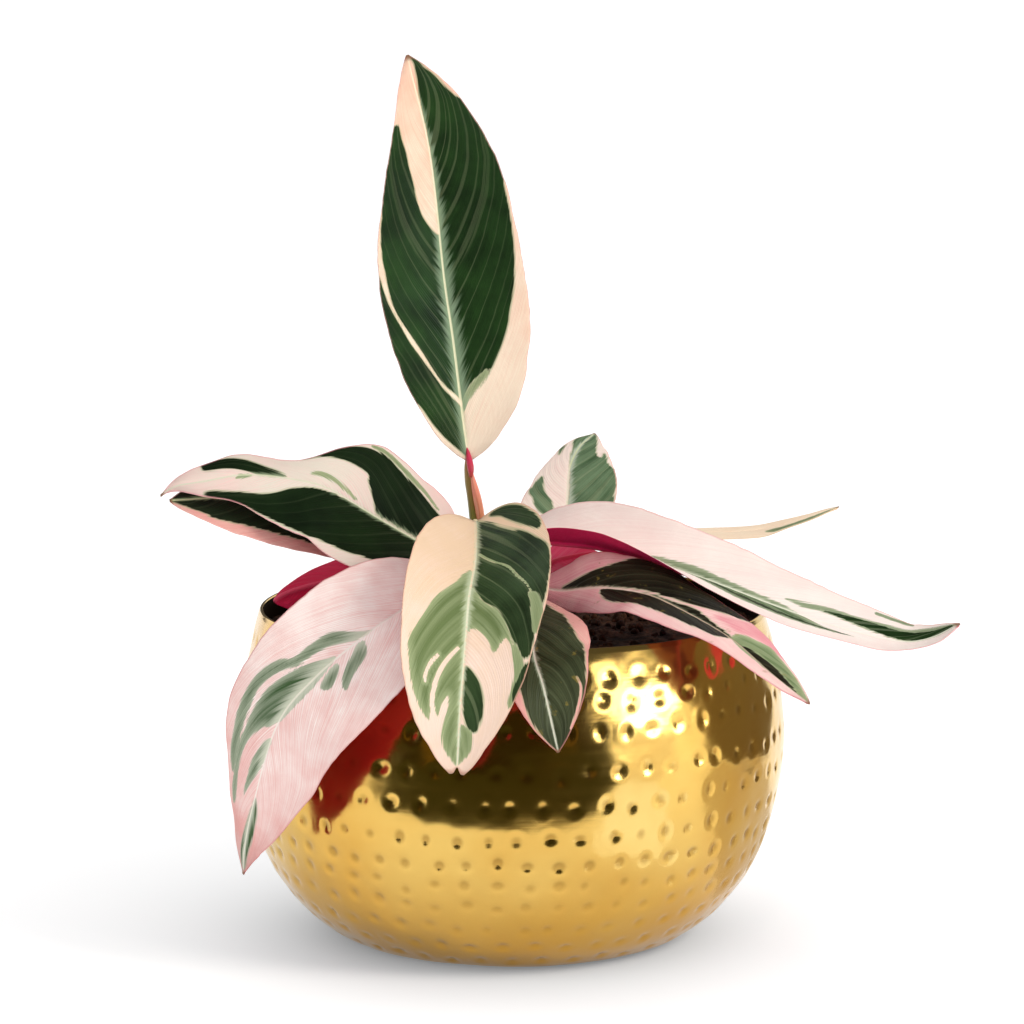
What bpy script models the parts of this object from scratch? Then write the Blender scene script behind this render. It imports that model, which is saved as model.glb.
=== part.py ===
"""A potted stromanthe: a variegated prayer plant in an open, hammered brass bowl.

Every size below is in millimetres and is turned into metres once, in add_mesh.
The origin is the middle of the bowl's flat base, +Z is up and -Y is the front.
"""

import math

import bmesh
import bpy
import numpy as np

MM = 0.001
SEAT_GAP = 0.3            # clearance between pieces that touch

# Bowl: outer outline from the edge of the flat base up to the rim, as (radius, height).
BOWL_OUTLINE = [(58, 0), (66, 2.5), (78, 11.5), (88, 24), (95, 40),
                (99.6, 58), (100.8, 73), (100.3, 84), (97.7, 104), (93.2, 122)]
BOWL_WALL = 1.2
BOWL_RINGS = 15
FOOT_STEP = 0.5           # how far the floor's edge stands inside the base's edge
TURNED_SIDES = 48

# Soil and crown, the clump of rhizome and sheath bases that every stalk grows from.
SOIL_EDGE = 113.0         # height of the soil where it meets the bowl
SOIL_MIDDLE = 115.5       # height of the soil beside the crown
CROWN_RADIUS = 16.0
CROWN_HEIGHT = 111.0      # height of the middle of the crown's dome
CROWN_SINK = 7.0          # how far the crown reaches below the middle of its dome

# Leaf blades and stalks
BLADE_THICKNESS = 0.9
BLADE_MARGIN = 0.6        # thickness at the margin
BLADE_BASE = 1.6          # half width where the blade meets its stalk
BLADE_TIP = 0.5           # half width at the very tip
BLADE_STATIONS = 12       # along the midrib
BLADE_COLUMNS = 3         # across each half
STALK_FOOT = 2.1          # stalk radius at the crown
STALK_TOP = 1.4           # stalk radius at the blade
STALK_LEAD = 5.0          # straight run at each end of a stalk
STALK_SIDES = 6
STALK_STATIONS = 9

# One entry for each leaf. route: the midrib from base to tip. face: which way the upper side
# looks, at even steps along the midrib. left and right: half widths at the base, middle and tip
# of the blade, seen on the upper side with the tip away. outline: how early and how fast the
# blade widens and narrows. fold: rise of each half from the midrib in degrees, from base to tip.
# curl: how much more the half turns up by its margin. foot: the stalk's direction out of the
# crown. via: points that the stalk passes on its way.
LEAVES = {
    "upright": dict(
        route=[(-16, 2, 176), (-19, 5, 198), (-22, 7, 222), (-25, 7, 243), (-30, 2, 289), (-38, -6, 325)],
        face=[(0.39, -0.92, 0), (0.3, -0.95, 0), (0.38, -0.92, 0)],
        left=(31, 31, 27), right=(33, 30, 32),
        outline=(0.64, 0.82), fold=(22, 18), curl=7, foot=(-0.55, 0.2, 0.81), via=[(-13, 2, 145)]),
    "left_upper": dict(
        route=[(-20, -15, 140), (-35, -22, 150), (-49, -26, 159), (-66, -31, 170), (-79, -34, 174),
               (-96, -37, 176), (-111, -40, 174), (-126, -42, 172)],
        face=[(0.05, -0.67, 0.74), (0.1, -0.74, 0.66), (0.05, -0.89, 0.44)],
        left=(23, 30, 20), right=(33, 18, 15),
        outline=(0.5, 1.2), fold=(20, -6), curl=-10, foot=(-0.5, -0.46, 0.73)),
    "left_under": dict(
        route=[(-44, -18, 146), (-62, -24, 156), (-80, -28, 163), (-102, -33, 167), (-123, -40, 167)],
        face=[(0, -0.73, 0.68)], left=(22, 19, 21), right=(16, 14, 12),
        outline=(0.78, 0.78), fold=(10, 7), curl=-9, foot=(-0.84, -0.04, 0.54)),
    "left_low": dict(
        route=[(-41, -6, 131), (-58, -6, 133), (-71, -6, 131), (-82, -7, 128), (-88, -8, 125)],
        face=[(0.12, 0.74, -0.66)], left=(13, 14, 12), right=(13, 14, 13),
        outline=(0.84, 0.7), fold=(10, 20), curl=3, foot=(-0.78, 0.34, 0.52)),
    "front_left": dict(
        route=[(-21, -46, 138), (-31, -59, 136), (-41, -70, 131), (-50, -78, 126), (-69, -86, 111),
               (-82, -88, 95), (-91, -80, 66), (-95, -72, 48), (-96, -66, 36)],
        face=[(0, -0.55, 0.84), (-0.2, -0.7, 0.68), (-0.57, -0.74, 0.36)],
        left=(22, 34, 34), right=(27, 28, 33),
        outline=(0.48, 0.95), fold=(16, -12), curl=5, foot=(-0.42, -0.7, 0.58)),
    "front": dict(
        route=[(-13, -38, 159), (-13, -62, 149), (-15, -84, 139), (-16, -98, 127), (-17, -107, 115),
               (-18, -111, 102), (-19, -111, 82)],
        face=[(-0.1, -0.51, 0.85), (0, -0.84, 0.54), (-0.27, -0.96, 0.11)],
        left=(30, 32, 34), right=(23, 26, 37),
        outline=(0.45, 0.81), fold=(23, -4), curl=30, foot=(-0.14, -0.5, 0.85)),
    "front_right": dict(
        route=[(4, -46, 135), (5, -66, 131), (7, -86, 127), (8, -98, 120), (11, -105, 111), (16, -108, 89)],
        face=[(0.11, -0.52, 0.85), (0.12, -0.83, 0.54), (0.07, -0.98, 0.19)],
        left=(18, 20, 19), right=(18, 17, 15),
        outline=(0.9, 0.88), fold=(8, 10), curl=-4, foot=(0.14, -0.84, 0.52)),
    "back": dict(
        route=[(20, 30, 144), (21, 44, 155), (22, 58, 165), (26, 70, 172), (32, 79, 176)],
        face=[(0.06, -0.8, 0.6), (-0.2, -0.73, 0.66), (-0.38, -0.65, 0.66)],
        left=(25, 14, 11), right=(20, 19, 19),
        outline=(0.5, 0.75), fold=(14, -3), curl=-12, foot=(0.26, 0.7, 0.66)),
    "right_long": dict(
        route=[(4, -9, 148), (13, -13, 148), (31, -19, 147), (44, -24, 144), (68, -33, 138), (97, -40, 128),
               (116, -43, 122), (138, -46, 117), (150, -46, 118), (161, -45, 123)],
        face=[(0.01, -0.26, 0.97), (0.02, -0.44, 0.9), (0.01, -0.37, 0.93)],
        left=(22, 17, 26), right=(20, 20, 23),
        outline=(0.45, 0.77), fold=(42, 43, 22, 13, 7), curl=7, foot=(-0.02, 0.1, 0.99)),
    "right_low": dict(
        route=[(9, -23, 133), (18, -32, 133), (32, -44, 136), (46, -55, 136), (57, -64, 133),
               (76, -77, 124), (90, -85, 113), (104, -88, 102)],
        face=[(-0.1, -0.89, 0.45), (0.45, -0.54, 0.71), (0.5, -0.26, 0.82)],
        left=(30, 12, 23), right=(12, 17, 12),
        outline=(0.68, 0.7), fold=(13, 21), curl=-30, foot=(0.42, -0.6, 0.68)),
    "right_back": dict(
        route=[(29, 14, 137), (48, 24, 141), (67, 32, 144), (85, 36, 144), (101, 38, 146), (124, 40, 153)],
        face=[(0, 0.04, 1)], left=(20, 19, 20), right=(20, 20, 20),
        outline=(0.75, 0.8), fold=(2, 5), curl=-9, foot=(0.76, 0.36, 0.54)),
    "inner": dict(
        route=[(10, 2, 133), (15, -1, 138), (23, -5, 141), (32, -8, 143)],
        face=[(0, 0.5, -0.87)], left=(9, 9, 7), right=(13, 14, 11),
        outline=(0.7, 1.1), fold=(8, 1), curl=-8, foot=(0.68, 0.1, 0.72)),
}

# Sheath and furled shoot beside the upright leaf's stalk. share: how far up the stalk each
# starts and ends. bearing: the side of the stalk that they lie on, in degrees from +X towards +Y.
SHEATH = dict(share=(0.36, 0.80), bearing=(10, -35), radii=(0.7, 1.1, 1.1, 0.8))
SHOOT = dict(share=(0.81, 1.04), bearing=(-42, -68), radii=(0.8, 1.1, 0.9, 0.3))
BESIDE_STATIONS = 6


def remove_everything():
    """Empty the scene of its default objects."""
    for old in list(bpy.data.objects):
        bpy.data.objects.remove(old)


def make_material(name, colour, metallic, roughness):
    """Return a Principled material."""
    mat = bpy.data.materials.new(name)
    mat.use_nodes = True
    shader = mat.node_tree.nodes["Principled BSDF"]
    shader.inputs["Base Color"].default_value = (*colour, 1.0)
    shader.inputs["Metallic"].default_value = metallic
    shader.inputs["Roughness"].default_value = roughness
    mat.diffuse_color = (*colour, 1.0)
    return mat


def add_mesh(name, points, faces, mat):
    """Add one closed body from points in millimetres, facing outwards and smooth shaded."""
    mesh = bpy.data.meshes.new(name)
    mesh.from_pydata([tuple(float(value) * MM for value in point) for point in points], [], faces)
    shape = bmesh.new()
    shape.from_mesh(mesh)
    bmesh.ops.recalc_face_normals(shape, faces=shape.faces)
    shape.to_mesh(mesh)
    shape.free()
    mesh.shade_smooth()
    mesh.set_sharp_from_angle(angle=math.radians(35))
    mesh.materials.append(mat)
    piece = bpy.data.objects.new(name, mesh)
    bpy.context.scene.collection.objects.link(piece)
    return piece


def smooth_through(values, steps):
    """Values of a Catmull-Rom curve through a few rows, at steps from 0 to 1 of the way."""
    rows = np.atleast_2d(np.array(values, dtype=float))
    if len(rows) == 1:
        return np.repeat(rows, len(steps), axis=0)
    padded = np.vstack([2 * rows[0] - rows[1], rows, 2 * rows[-1] - rows[-2]])
    place = np.asarray(steps) * (len(rows) - 1)
    first = np.minimum(place.astype(int), len(rows) - 2)
    part = (place - first)[:, None]
    before, start, end, after = (padded[first + step] for step in range(4))
    return 0.5 * (2 * start + (end - before) * part
                  + (2 * before - 5 * start + 4 * end - after) * part ** 2
                  + (3 * start - before - 3 * end + after) * part ** 3)


def along_piece(values, steps):
    """A few values at even steps along a piece, read smoothly at other steps."""
    return smooth_through([[value] for value in values], steps)[:, 0]


def even_curve(points, count):
    """Points at even distances along the smooth curve through a few points."""
    fine = smooth_through(points, np.linspace(0, 1, 400))
    run = np.concatenate([[0], np.cumsum(np.linalg.norm(np.diff(fine, axis=0), axis=1))])
    goal = np.linspace(0, run[-1], count)
    return np.stack([np.interp(goal, run, fine[:, axis]) for axis in range(fine.shape[1])], axis=-1)


def unit(vectors):
    """Vectors scaled to length 1."""
    vectors = np.asarray(vectors, dtype=float)
    return vectors / np.linalg.norm(vectors, axis=-1, keepdims=True)


def inset(outline, distance):
    """Move a turned outline towards the inside of its body by a distance."""
    along = unit(np.gradient(outline, axis=0))
    return outline + distance * np.stack([-along[:, 1], along[:, 0]], axis=-1)


def turned(name, outline, mat):
    """Turn an outline of (radius, height) about Z; it starts and ends on the axis."""
    angles = np.linspace(0, 2 * math.pi, TURNED_SIDES, endpoint=False)
    points, rings = [], []
    for radius, height in outline:
        start = len(points)
        if radius == 0:
            rings.append([start] * TURNED_SIDES)
            points.append((0, 0, height))
        else:
            rings.append([start + side for side in range(TURNED_SIDES)])
            points += [(radius * math.cos(a), radius * math.sin(a), height) for a in angles]
    faces = []
    for low, high in zip(rings, rings[1:]):
        for side in range(TURNED_SIDES):
            after = (side + 1) % TURNED_SIDES
            corners = [low[side], low[after], high[after], high[side]]
            faces.append(list(dict.fromkeys(corners)))
    return add_mesh(name, points, faces, mat)


def bowl_outline(count, depth):
    """The bowl's outer outline, moved inwards by depth, from base edge to rim."""
    return inset(even_curve(BOWL_OUTLINE, count), depth)


def make_bowl(mat):
    """The open bowl: outer and inner outline joined by a plain rim and a flat base."""
    outer = bowl_outline(BOWL_RINGS, 0)
    inner = bowl_outline(BOWL_RINGS, BOWL_WALL)
    inner[0] = (outer[0][0] - FOOT_STEP, BOWL_WALL)
    inner[-1, 1] = outer[-1, 1]
    return turned("bowl", [(0, 0), *outer, *inner[::-1], (0, BOWL_WALL)], mat)


def make_soil(mat):
    """The soil: it follows the bowl's inside and has a pit that the crown sits in."""
    side = bowl_outline(BOWL_RINGS, BOWL_WALL + SEAT_GAP)
    side[0] = (side[0][0] - FOOT_STEP, BOWL_WALL + SEAT_GAP)
    below = side[side[:, 1] < SOIL_EDGE - 1]
    edge = np.interp(SOIL_EDGE, side[:, 1], side[:, 0])
    pit = CROWN_RADIUS + SEAT_GAP
    floor = CROWN_HEIGHT - CROWN_SINK - SEAT_GAP
    top = [(edge, SOIL_EDGE), (0.75 * edge, SOIL_EDGE + 0.8), (0.45 * edge, SOIL_MIDDLE - 0.4)]
    loop = [(0, BOWL_WALL + SEAT_GAP), *below, *top, (pit, SOIL_MIDDLE), (pit, floor), (0, floor)]
    return turned("soil", loop, mat)


def make_crown(mat):
    """The crown: a low dome on a short neck."""
    slopes = np.radians([0, 22, 44, 66])
    dome = [(CROWN_RADIUS * math.cos(a), CROWN_HEIGHT + CROWN_RADIUS * math.sin(a)) for a in slopes]
    foot = CROWN_HEIGHT - CROWN_SINK
    loop = [(0, foot), (CROWN_RADIUS * 0.9, foot), *dome, (0, CROWN_HEIGHT + CROWN_RADIUS)]
    return turned("crown", loop, mat)


def blade_frame(leaf, count):
    """Midrib points, with the directions along it, to the right and up from the upper side."""
    midrib = even_curve(leaf["route"], count)
    along = unit(np.gradient(midrib, axis=0))
    up = smooth_through(unit(leaf["face"]), np.linspace(0, 1, count))
    up = unit(up - along * np.sum(along * up, axis=-1, keepdims=True))
    return midrib, along, np.cross(along, up), up


def blade_width(leaf, side, steps):
    """Half widths of one half of the blade."""
    rise, fall = leaf["outline"]
    peak = rise / (rise + fall)
    shape = steps ** rise * (1 - steps) ** fall / (peak ** rise * (1 - peak) ** fall)
    widths = shape * along_piece(leaf[side], steps)
    least = BLADE_BASE + (BLADE_TIP - BLADE_BASE) * steps
    return np.maximum(widths, least)


def blade_grid(leaf):
    """Points of the blade's middle sheet: stations along the midrib by columns across."""
    steps = np.linspace(0, 1, BLADE_STATIONS)
    midrib, _, right, up = blade_frame(leaf, BLADE_STATIONS)
    fold = np.radians(along_piece(leaf["fold"], steps))
    columns = np.linspace(-1, 1, 2 * BLADE_COLUMNS + 1)
    grid = np.empty((BLADE_STATIONS, len(columns), 3))
    for index, column in enumerate(columns):
        side = "left" if column < 0 else "right"
        reach = abs(column) * blade_width(leaf, side, steps)
        angle = fold + math.radians(leaf["curl"]) * abs(column) / 2
        across = np.sign(column) * reach * np.cos(angle)
        grid[:, index] = midrib + across[:, None] * right + (reach * np.sin(angle))[:, None] * up
    return grid


def make_blade(name, leaf, mat):
    """A blade: its middle sheet thickened to both sides and closed all round."""
    grid = blade_grid(leaf)
    stations, columns = grid.shape[:2]
    normal = unit(np.cross(np.gradient(grid, axis=0), np.gradient(grid, axis=1)))
    _, along, _, _ = blade_frame(leaf, stations)
    normal[0] = unit(normal[0] - np.outer(normal[0] @ along[0], along[0]))
    half = np.full(columns, BLADE_THICKNESS / 2)
    half[[0, -1]] = BLADE_MARGIN / 2
    lift = normal * half[None, :, None]
    points = np.concatenate([(grid + lift).reshape(-1, 3), (grid - lift).reshape(-1, 3)])
    number = np.arange(stations * columns).reshape(stations, columns)
    under = stations * columns
    faces = []
    for row in range(stations - 1):
        for column in range(columns - 1):
            square = [number[row, column], number[row + 1, column],
                      number[row + 1, column + 1], number[row, column + 1]]
            faces.append([int(corner) for corner in square])
            faces.append([int(corner) + under for corner in square[::-1]])
    border = [*number[:, 0], *number[-1, 1:], *number[-2::-1, -1], *number[0, -2:0:-1]]
    for start, end in zip(border, border[1:] + border[:1]):
        faces.append([int(start), int(start) + under, int(end) + under, int(end)])
    return add_mesh(name, points, faces, mat)


def tube(name, route, radii, mat, stations=STALK_STATIONS, sides=STALK_SIDES):
    """A closed round stem along a smooth curve, with a radius that changes along it."""
    centre = even_curve(route, stations)
    along = unit(np.gradient(centre, axis=0))
    along[0] = unit(np.subtract(route[1], route[0]))
    along[-1] = unit(np.subtract(route[-1], route[-2]))
    radius = along_piece(radii, np.linspace(0, 1, stations))
    beside = unit(np.cross(along[0], (0.3, 1.0, 0.2)))
    points, faces = [], []
    for index in range(stations):
        beside = unit(beside - along[index] * np.dot(along[index], beside))
        other = np.cross(along[index], beside)
        for side in range(sides):
            angle = 2 * math.pi * side / sides
            points.append(centre[index] + radius[index] * (math.cos(angle) * beside
                                                           + math.sin(angle) * other))
    for index in range(stations - 1):
        for side in range(sides):
            after = (side + 1) % sides
            low, high = index * sides, (index + 1) * sides
            faces.append([low + side, low + after, high + after, high + side])
    faces.append(list(range(sides))[::-1])
    faces.append([(stations - 1) * sides + side for side in range(sides)])
    return add_mesh(name, points, faces, mat)


def stalk_route(leaf):
    """Centre line of a leaf's stalk, from just off the crown to just short of the blade."""
    out = unit(leaf["foot"])
    foot = np.array([0, 0, CROWN_HEIGHT]) + out * (CROWN_RADIUS + SEAT_GAP)
    midrib, along, _, _ = blade_frame(leaf, BLADE_STATIONS)
    top = midrib[0] - along[0] * SEAT_GAP
    via = [np.array(point, dtype=float) for point in leaf.get("via", [])]
    return [foot, foot + STALK_LEAD * out, *via, top - STALK_LEAD * along[0], top]


def beside_stalk(leaf, piece):
    """Centre line that lies against a stalk, and may run on past its top."""
    centre = even_curve(stalk_route(leaf), 60)
    centre = np.vstack([centre, centre[-1] + (centre[-1] - centre[-2]) * np.arange(1, 8)[:, None]])
    share = np.linspace(*piece["share"], BESIDE_STATIONS)
    bearing = np.radians(np.linspace(*piece["bearing"], BESIDE_STATIONS))
    radius = along_piece(piece["radii"], np.linspace(0, 1, BESIDE_STATIONS))
    reach = STALK_FOOT + (STALK_TOP - STALK_FOOT) * np.minimum(share, 1) + SEAT_GAP + radius
    place = [np.interp(share * 59, np.arange(len(centre)), centre[:, axis]) for axis in range(3)]
    place[0] += reach * np.cos(bearing)
    place[1] += reach * np.sin(bearing)
    return np.stack(place, axis=-1)


def build():
    """Make every piece of the plant and its bowl."""
    remove_everything()
    brass = make_material("hammered_brass", (0.75, 0.50, 0.14), 1.0, 0.22)
    earth = make_material("potting_soil", (0.03, 0.018, 0.012), 0.0, 0.95)
    rhizome = make_material("rhizome", (0.20, 0.12, 0.06), 0.0, 0.7)
    leaf_green = make_material("leaf_blade", (0.05, 0.13, 0.06), 0.0, 0.4)
    stem = make_material("leaf_stalk", (0.28, 0.20, 0.08), 0.0, 0.5)
    salmon = make_material("leaf_sheath", (0.80, 0.30, 0.20), 0.0, 0.45)
    crimson = make_material("furled_leaf", (0.55, 0.03, 0.10), 0.0, 0.45)
    make_bowl(brass)
    make_soil(earth)
    make_crown(rhizome)
    for name, leaf in LEAVES.items():
        make_blade("leaf_" + name, leaf, leaf_green)
        tube("stalk_" + name, stalk_route(leaf), (STALK_FOOT, STALK_TOP), stem)
    upright = LEAVES["upright"]
    tube("sheath_upright", beside_stalk(upright, SHEATH), SHEATH["radii"], salmon)
    tube("shoot_upright", beside_stalk(upright, SHOOT), SHOOT["radii"], crimson)


build()
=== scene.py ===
"""Looks of the potted stromanthe: a variegated prayer plant in an open, hammered brass bowl.

Sizes of the plant and the bowl are in millimetres and are turned into metres once, in
Piece.build; the studio's are in metres. The frame is the CAD model's own: the origin is the
middle of the bowl's base, +Z is up and -Y is the front. Leaves and stalks follow the same
routes as the solids they stand for.
"""

import itertools
import logging
import math
from collections.abc import Callable
from dataclasses import dataclass, field
from enum import Enum
from functools import partial

import bpy
import numpy as np
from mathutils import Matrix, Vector


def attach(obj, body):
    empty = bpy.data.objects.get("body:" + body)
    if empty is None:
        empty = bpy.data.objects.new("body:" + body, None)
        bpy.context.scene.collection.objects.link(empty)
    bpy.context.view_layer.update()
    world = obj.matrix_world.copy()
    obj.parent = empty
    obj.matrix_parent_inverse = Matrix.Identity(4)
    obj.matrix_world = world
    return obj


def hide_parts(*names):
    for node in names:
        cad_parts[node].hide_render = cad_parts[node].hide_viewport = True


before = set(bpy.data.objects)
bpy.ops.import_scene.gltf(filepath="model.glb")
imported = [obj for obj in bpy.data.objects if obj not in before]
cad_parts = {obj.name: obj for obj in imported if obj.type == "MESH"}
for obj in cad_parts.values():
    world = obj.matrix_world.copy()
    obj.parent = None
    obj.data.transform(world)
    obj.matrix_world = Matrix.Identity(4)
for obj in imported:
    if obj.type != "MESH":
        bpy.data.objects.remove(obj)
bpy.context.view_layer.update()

LOG = logging.getLogger("potted_stromanthe")

Array = np.ndarray
Object = bpy.types.Object
Socket = bpy.types.NodeSocket

MM = 0.001
TURN = 2 * math.pi
BODY = "root"

# Sizes that the CAD model has too. The bowl's outline runs from the edge of its flat base up
# to the rim, as (radius, height).
BOWL_OUTLINE = [(58, 0), (66, 2.5), (78, 11.5), (88, 24), (95, 40),
                (99.6, 58), (100.8, 73), (100.3, 84), (97.7, 104), (93.2, 122)]
BOWL_WALL = 1.2
SEAT_GAP = 0.3            # clearance between pieces that touch
SOIL_EDGE = 113.0         # height of the soil where it meets the bowl
SOIL_MIDDLE = 115.5       # height of the soil beside the crown
CROWN_RADIUS = 16.0
CROWN_HEIGHT = 111.0      # height of the middle of the crown's dome
CROWN_SINK = 7.0          # how far the crown reaches below the middle of its dome
STALK_FOOT = 2.1          # stalk radius at the crown
STALK_TOP = 1.4           # stalk radius at the blade
STALK_LEAD = 5.0          # straight run at each end of a stalk
BLADE_BASE = 1.6          # half width where the blade meets its stalk
BLADE_TIP = 0.5           # half width at the very tip
FRAME_STATIONS = 12       # stations that give a blade's first direction

LUMP_KEYS = np.array([73856093, 19349663, 83492791])   # primes that scatter a cell's number
LUMP_MIXES = (1274126177, 2246822519)
SQUARE = ((-1, -1), (1, -1), (1, 1), (-1, 1))          # corners of a square of half size 1


# -------- curves and fields

def unit(vectors: Array) -> Array:
    """Vectors scaled to length 1."""
    vectors = np.asarray(vectors, dtype=float)
    return vectors / np.maximum(np.linalg.norm(vectors, axis=-1, keepdims=True), 1e-9)


def length(points: Array) -> float:
    """Length of the line through points."""
    return float(np.sum(np.linalg.norm(np.diff(points, axis=0), axis=1)))


def turns(count: int) -> Array:
    """Angles of even steps round a full turn."""
    return TURN * np.arange(count) / count


def turned(radius: Array, height: Array, turn: Array) -> Array:
    """Corners of a turned surface.

    Args:
        radius: A column of radii, or one for each corner.
        height: A column of heights, or one for each corner.
        turn: Angles of the corners of a ring.

    Returns:
        A row of corners for each ring.
    """
    height = np.broadcast_to(height, (len(height), len(turn)))
    return np.stack([radius * np.cos(turn), radius * np.sin(turn), height], axis=-1)


def turned_line(line: list | Array, turn: Array) -> Array:
    """Corners of the surface that a line of (radius, height) pairs sweeps out."""
    return turned(*np.array(line, dtype=float).T[..., None], turn)


def bell(distance: Array, reach: float) -> Array:
    """A smooth bump that is 1 at distance 0 and has fallen to about a third at its reach."""
    return np.exp(-(distance / reach) ** 2)


def ramp(values: Array, start: float, end: float) -> Array:
    """Values as a share of the way from start to end, held between 0 and 1."""
    return np.clip((values - start) / (end - start), 0, 1)


def spline(before: Array, start: Array, end: Array, after: Array, part: Array) -> Array:
    """Smooth curve from one row to the next.

    Args:
        before: The row before the first one.
        start: The first row.
        end: The next row.
        after: The row after it.
        part: Shares of the way from start to end.

    Returns:
        One row for each share.
    """
    return 0.5 * (2 * start + (end - before) * part
                  + (2 * before - 5 * start + 4 * end - after) * part ** 2
                  + (3 * start - before - 3 * end + after) * part ** 3)


def smooth_through(values: list, steps: Array) -> Array:
    """Read a smooth curve through a few rows.

    Args:
        values: Rows of numbers at even steps.
        steps: Places from 0 to 1 to read the curve at.

    Returns:
        One row for each place.
    """
    rows = np.atleast_2d(np.array(values, dtype=float))
    if len(rows) == 1:
        return np.repeat(rows, len(steps), axis=0)
    padded = np.vstack([2 * rows[0] - rows[1], rows, 2 * rows[-1] - rows[-2]])
    place = np.asarray(steps) * (len(rows) - 1)
    first = np.minimum(place.astype(int), len(rows) - 2)
    return spline(*(padded[first + step] for step in range(4)), (place - first)[:, None])


def along_piece(values: tuple, steps: Array) -> Array:
    """A few values at even steps along a piece, read smoothly at other steps."""
    return smooth_through([[value] for value in values], steps)[:, 0]


def even_curve(points: list, count: int) -> Array:
    """Points at even distances along the smooth curve through a few points.

    Args:
        points: The few points.
        count: How many points to return.

    Returns:
        The even points, one row each.
    """
    fine = smooth_through(points, np.linspace(0, 1, 400))
    run = np.concatenate([[0], np.cumsum(np.linalg.norm(np.diff(fine, axis=0), axis=1))])
    goal = np.linspace(0, run[-1], count)
    return np.stack([np.interp(goal, run, fine[:, axis]) for axis in range(fine.shape[1])], axis=-1)


def closed_curve(points: list, fine: int = 8) -> Array:
    """A smooth closed curve through a few points.

    Args:
        points: The few points in order.
        fine: Steps between each two of them.

    Returns:
        Corners of the curve in order.
    """
    rows = np.array(points, dtype=float)
    steps = np.arange(fine)[:, None] / fine
    return np.vstack([spline(*(rows[(index + step) % len(rows)] for step in (-1, 0, 1, 2)), steps)
                      for index in range(len(rows))])


def depth_inside(points: Array, border: Array) -> Array:
    """Distance of points to a closed border, positive inside it.

    Args:
        points: Flat points, one row each.
        border: Corners of the border in order.

    Returns:
        One distance for each point.
    """
    nearest = np.full(len(points), np.inf)
    inside = np.zeros(len(points), bool)
    for start, end in zip(border, np.roll(border, -1, axis=0)):
        edge = end - start
        share = np.clip((points - start) @ edge / max(edge @ edge, 1e-9), 0, 1)
        nearest = np.minimum(nearest, np.linalg.norm(points - start - share[:, None] * edge, axis=1))
        crosses = (start[1] > points[:, 1]) != (end[1] > points[:, 1])
        rise = edge[1] if abs(edge[1]) > 1e-9 else 1e-9
        inside ^= crosses & (points[:, 0] < start[0] + (points[:, 1] - start[1]) * edge[0] / rise)
    return np.where(inside, nearest, -nearest)


def lumps(points: Array, grain: float, seed: int) -> Array:
    """Smooth random values from -1 to 1.

    Args:
        points: Points in space, along the last axis.
        grain: Distance over which the values change.
        seed: Which of many fields to read.

    Returns:
        One value for each point.
    """
    place = np.asarray(points, dtype=float) / grain + seed * 7.31
    cell = np.floor(place).astype(np.int64)
    part = place - cell
    part = part * part * (3 - 2 * part)
    total = np.zeros(place.shape[:-1])
    for corner in itertools.product((0, 1), repeat=3):
        key = (cell + np.array(corner)) @ LUMP_KEYS + seed * 1013
        key = (key ^ (key >> 13)) * LUMP_MIXES[0] & 0xFFFFFFFF
        key = (key ^ (key >> 16)) * LUMP_MIXES[1] & 0xFFFFFFFF
        weight = np.prod(np.where(np.array(corner), part, 1 - part), axis=-1)
        total += weight * (key / 0xFFFFFFFF * 2 - 1)
    return total


# -------- meshes

def ring_faces(rows: int, sides: int) -> list:
    """Four-sided faces between rings of corners.

    Args:
        rows: How many rings there are.
        sides: Corners in each ring.

    Returns:
        The faces, ring by ring.
    """
    number = np.arange(rows * sides).reshape(rows, sides)
    after = np.roll(number, -1, axis=1)
    return np.stack([number[:-1], after[:-1], after[1:], number[1:]], axis=-1).reshape(-1, 4).tolist()


def in_scene(name: str, data: bpy.types.ID) -> Object:
    """Put a mesh or a camera into the scene.

    Args:
        name: The new object's name.
        data: The mesh or the camera.

    Returns:
        The new object.
    """
    thing = bpy.data.objects.new(name, data)
    bpy.context.scene.collection.objects.link(thing)
    return thing


@dataclass
class Piece:
    """One visible piece: a mesh that rides on the object and stands for a CAD node."""

    name: str
    node: str
    slot: str
    materials: list

    def build(self, points: Array, faces: list, face_materials: list | None = None,
              uv: Array | None = None, fields: dict | None = None) -> Object:
        """Make the mesh and tie it to the frame.

        Args:
            points: Corners in millimetres.
            faces: Corner numbers of each face.
            face_materials: Which material each face wears; the first one if left out.
            uv: Two surface coordinates for each corner.
            fields: Named rows of three values for each corner, read by the materials.

        Returns:
            The new object.
        """
        mesh = bpy.data.meshes.new(self.name)
        mesh.from_pydata((np.asarray(points) * MM).tolist(), [], faces)
        for material in self.materials:
            mesh.materials.append(material)
        if face_materials is not None:
            mesh.polygons.foreach_set("material_index", face_materials)
        if uv is not None:
            corner = np.empty(len(mesh.loops), dtype=np.int32)
            mesh.loops.foreach_get("vertex_index", corner)
            layer = mesh.uv_layers.new(name="surface")
            layer.data.foreach_set("uv", np.asarray(uv, dtype=np.float32)[corner].ravel())
        for name, rows in (fields or {}).items():
            attribute = mesh.attributes.new(name, "FLOAT_VECTOR", "POINT")
            attribute.data.foreach_set("vector", np.asarray(rows, dtype=np.float32).ravel())
        mesh.shade_smooth()
        mesh.update()
        piece = in_scene(self.name, mesh)
        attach(piece, BODY)
        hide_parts(self.node)
        return piece


# -------- materials
# A list of inputs fills a node's sockets in order: for Math the numbers of its sum, and for
# MapRange the value, the two ends that it comes from and the two that it goes to.

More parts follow.
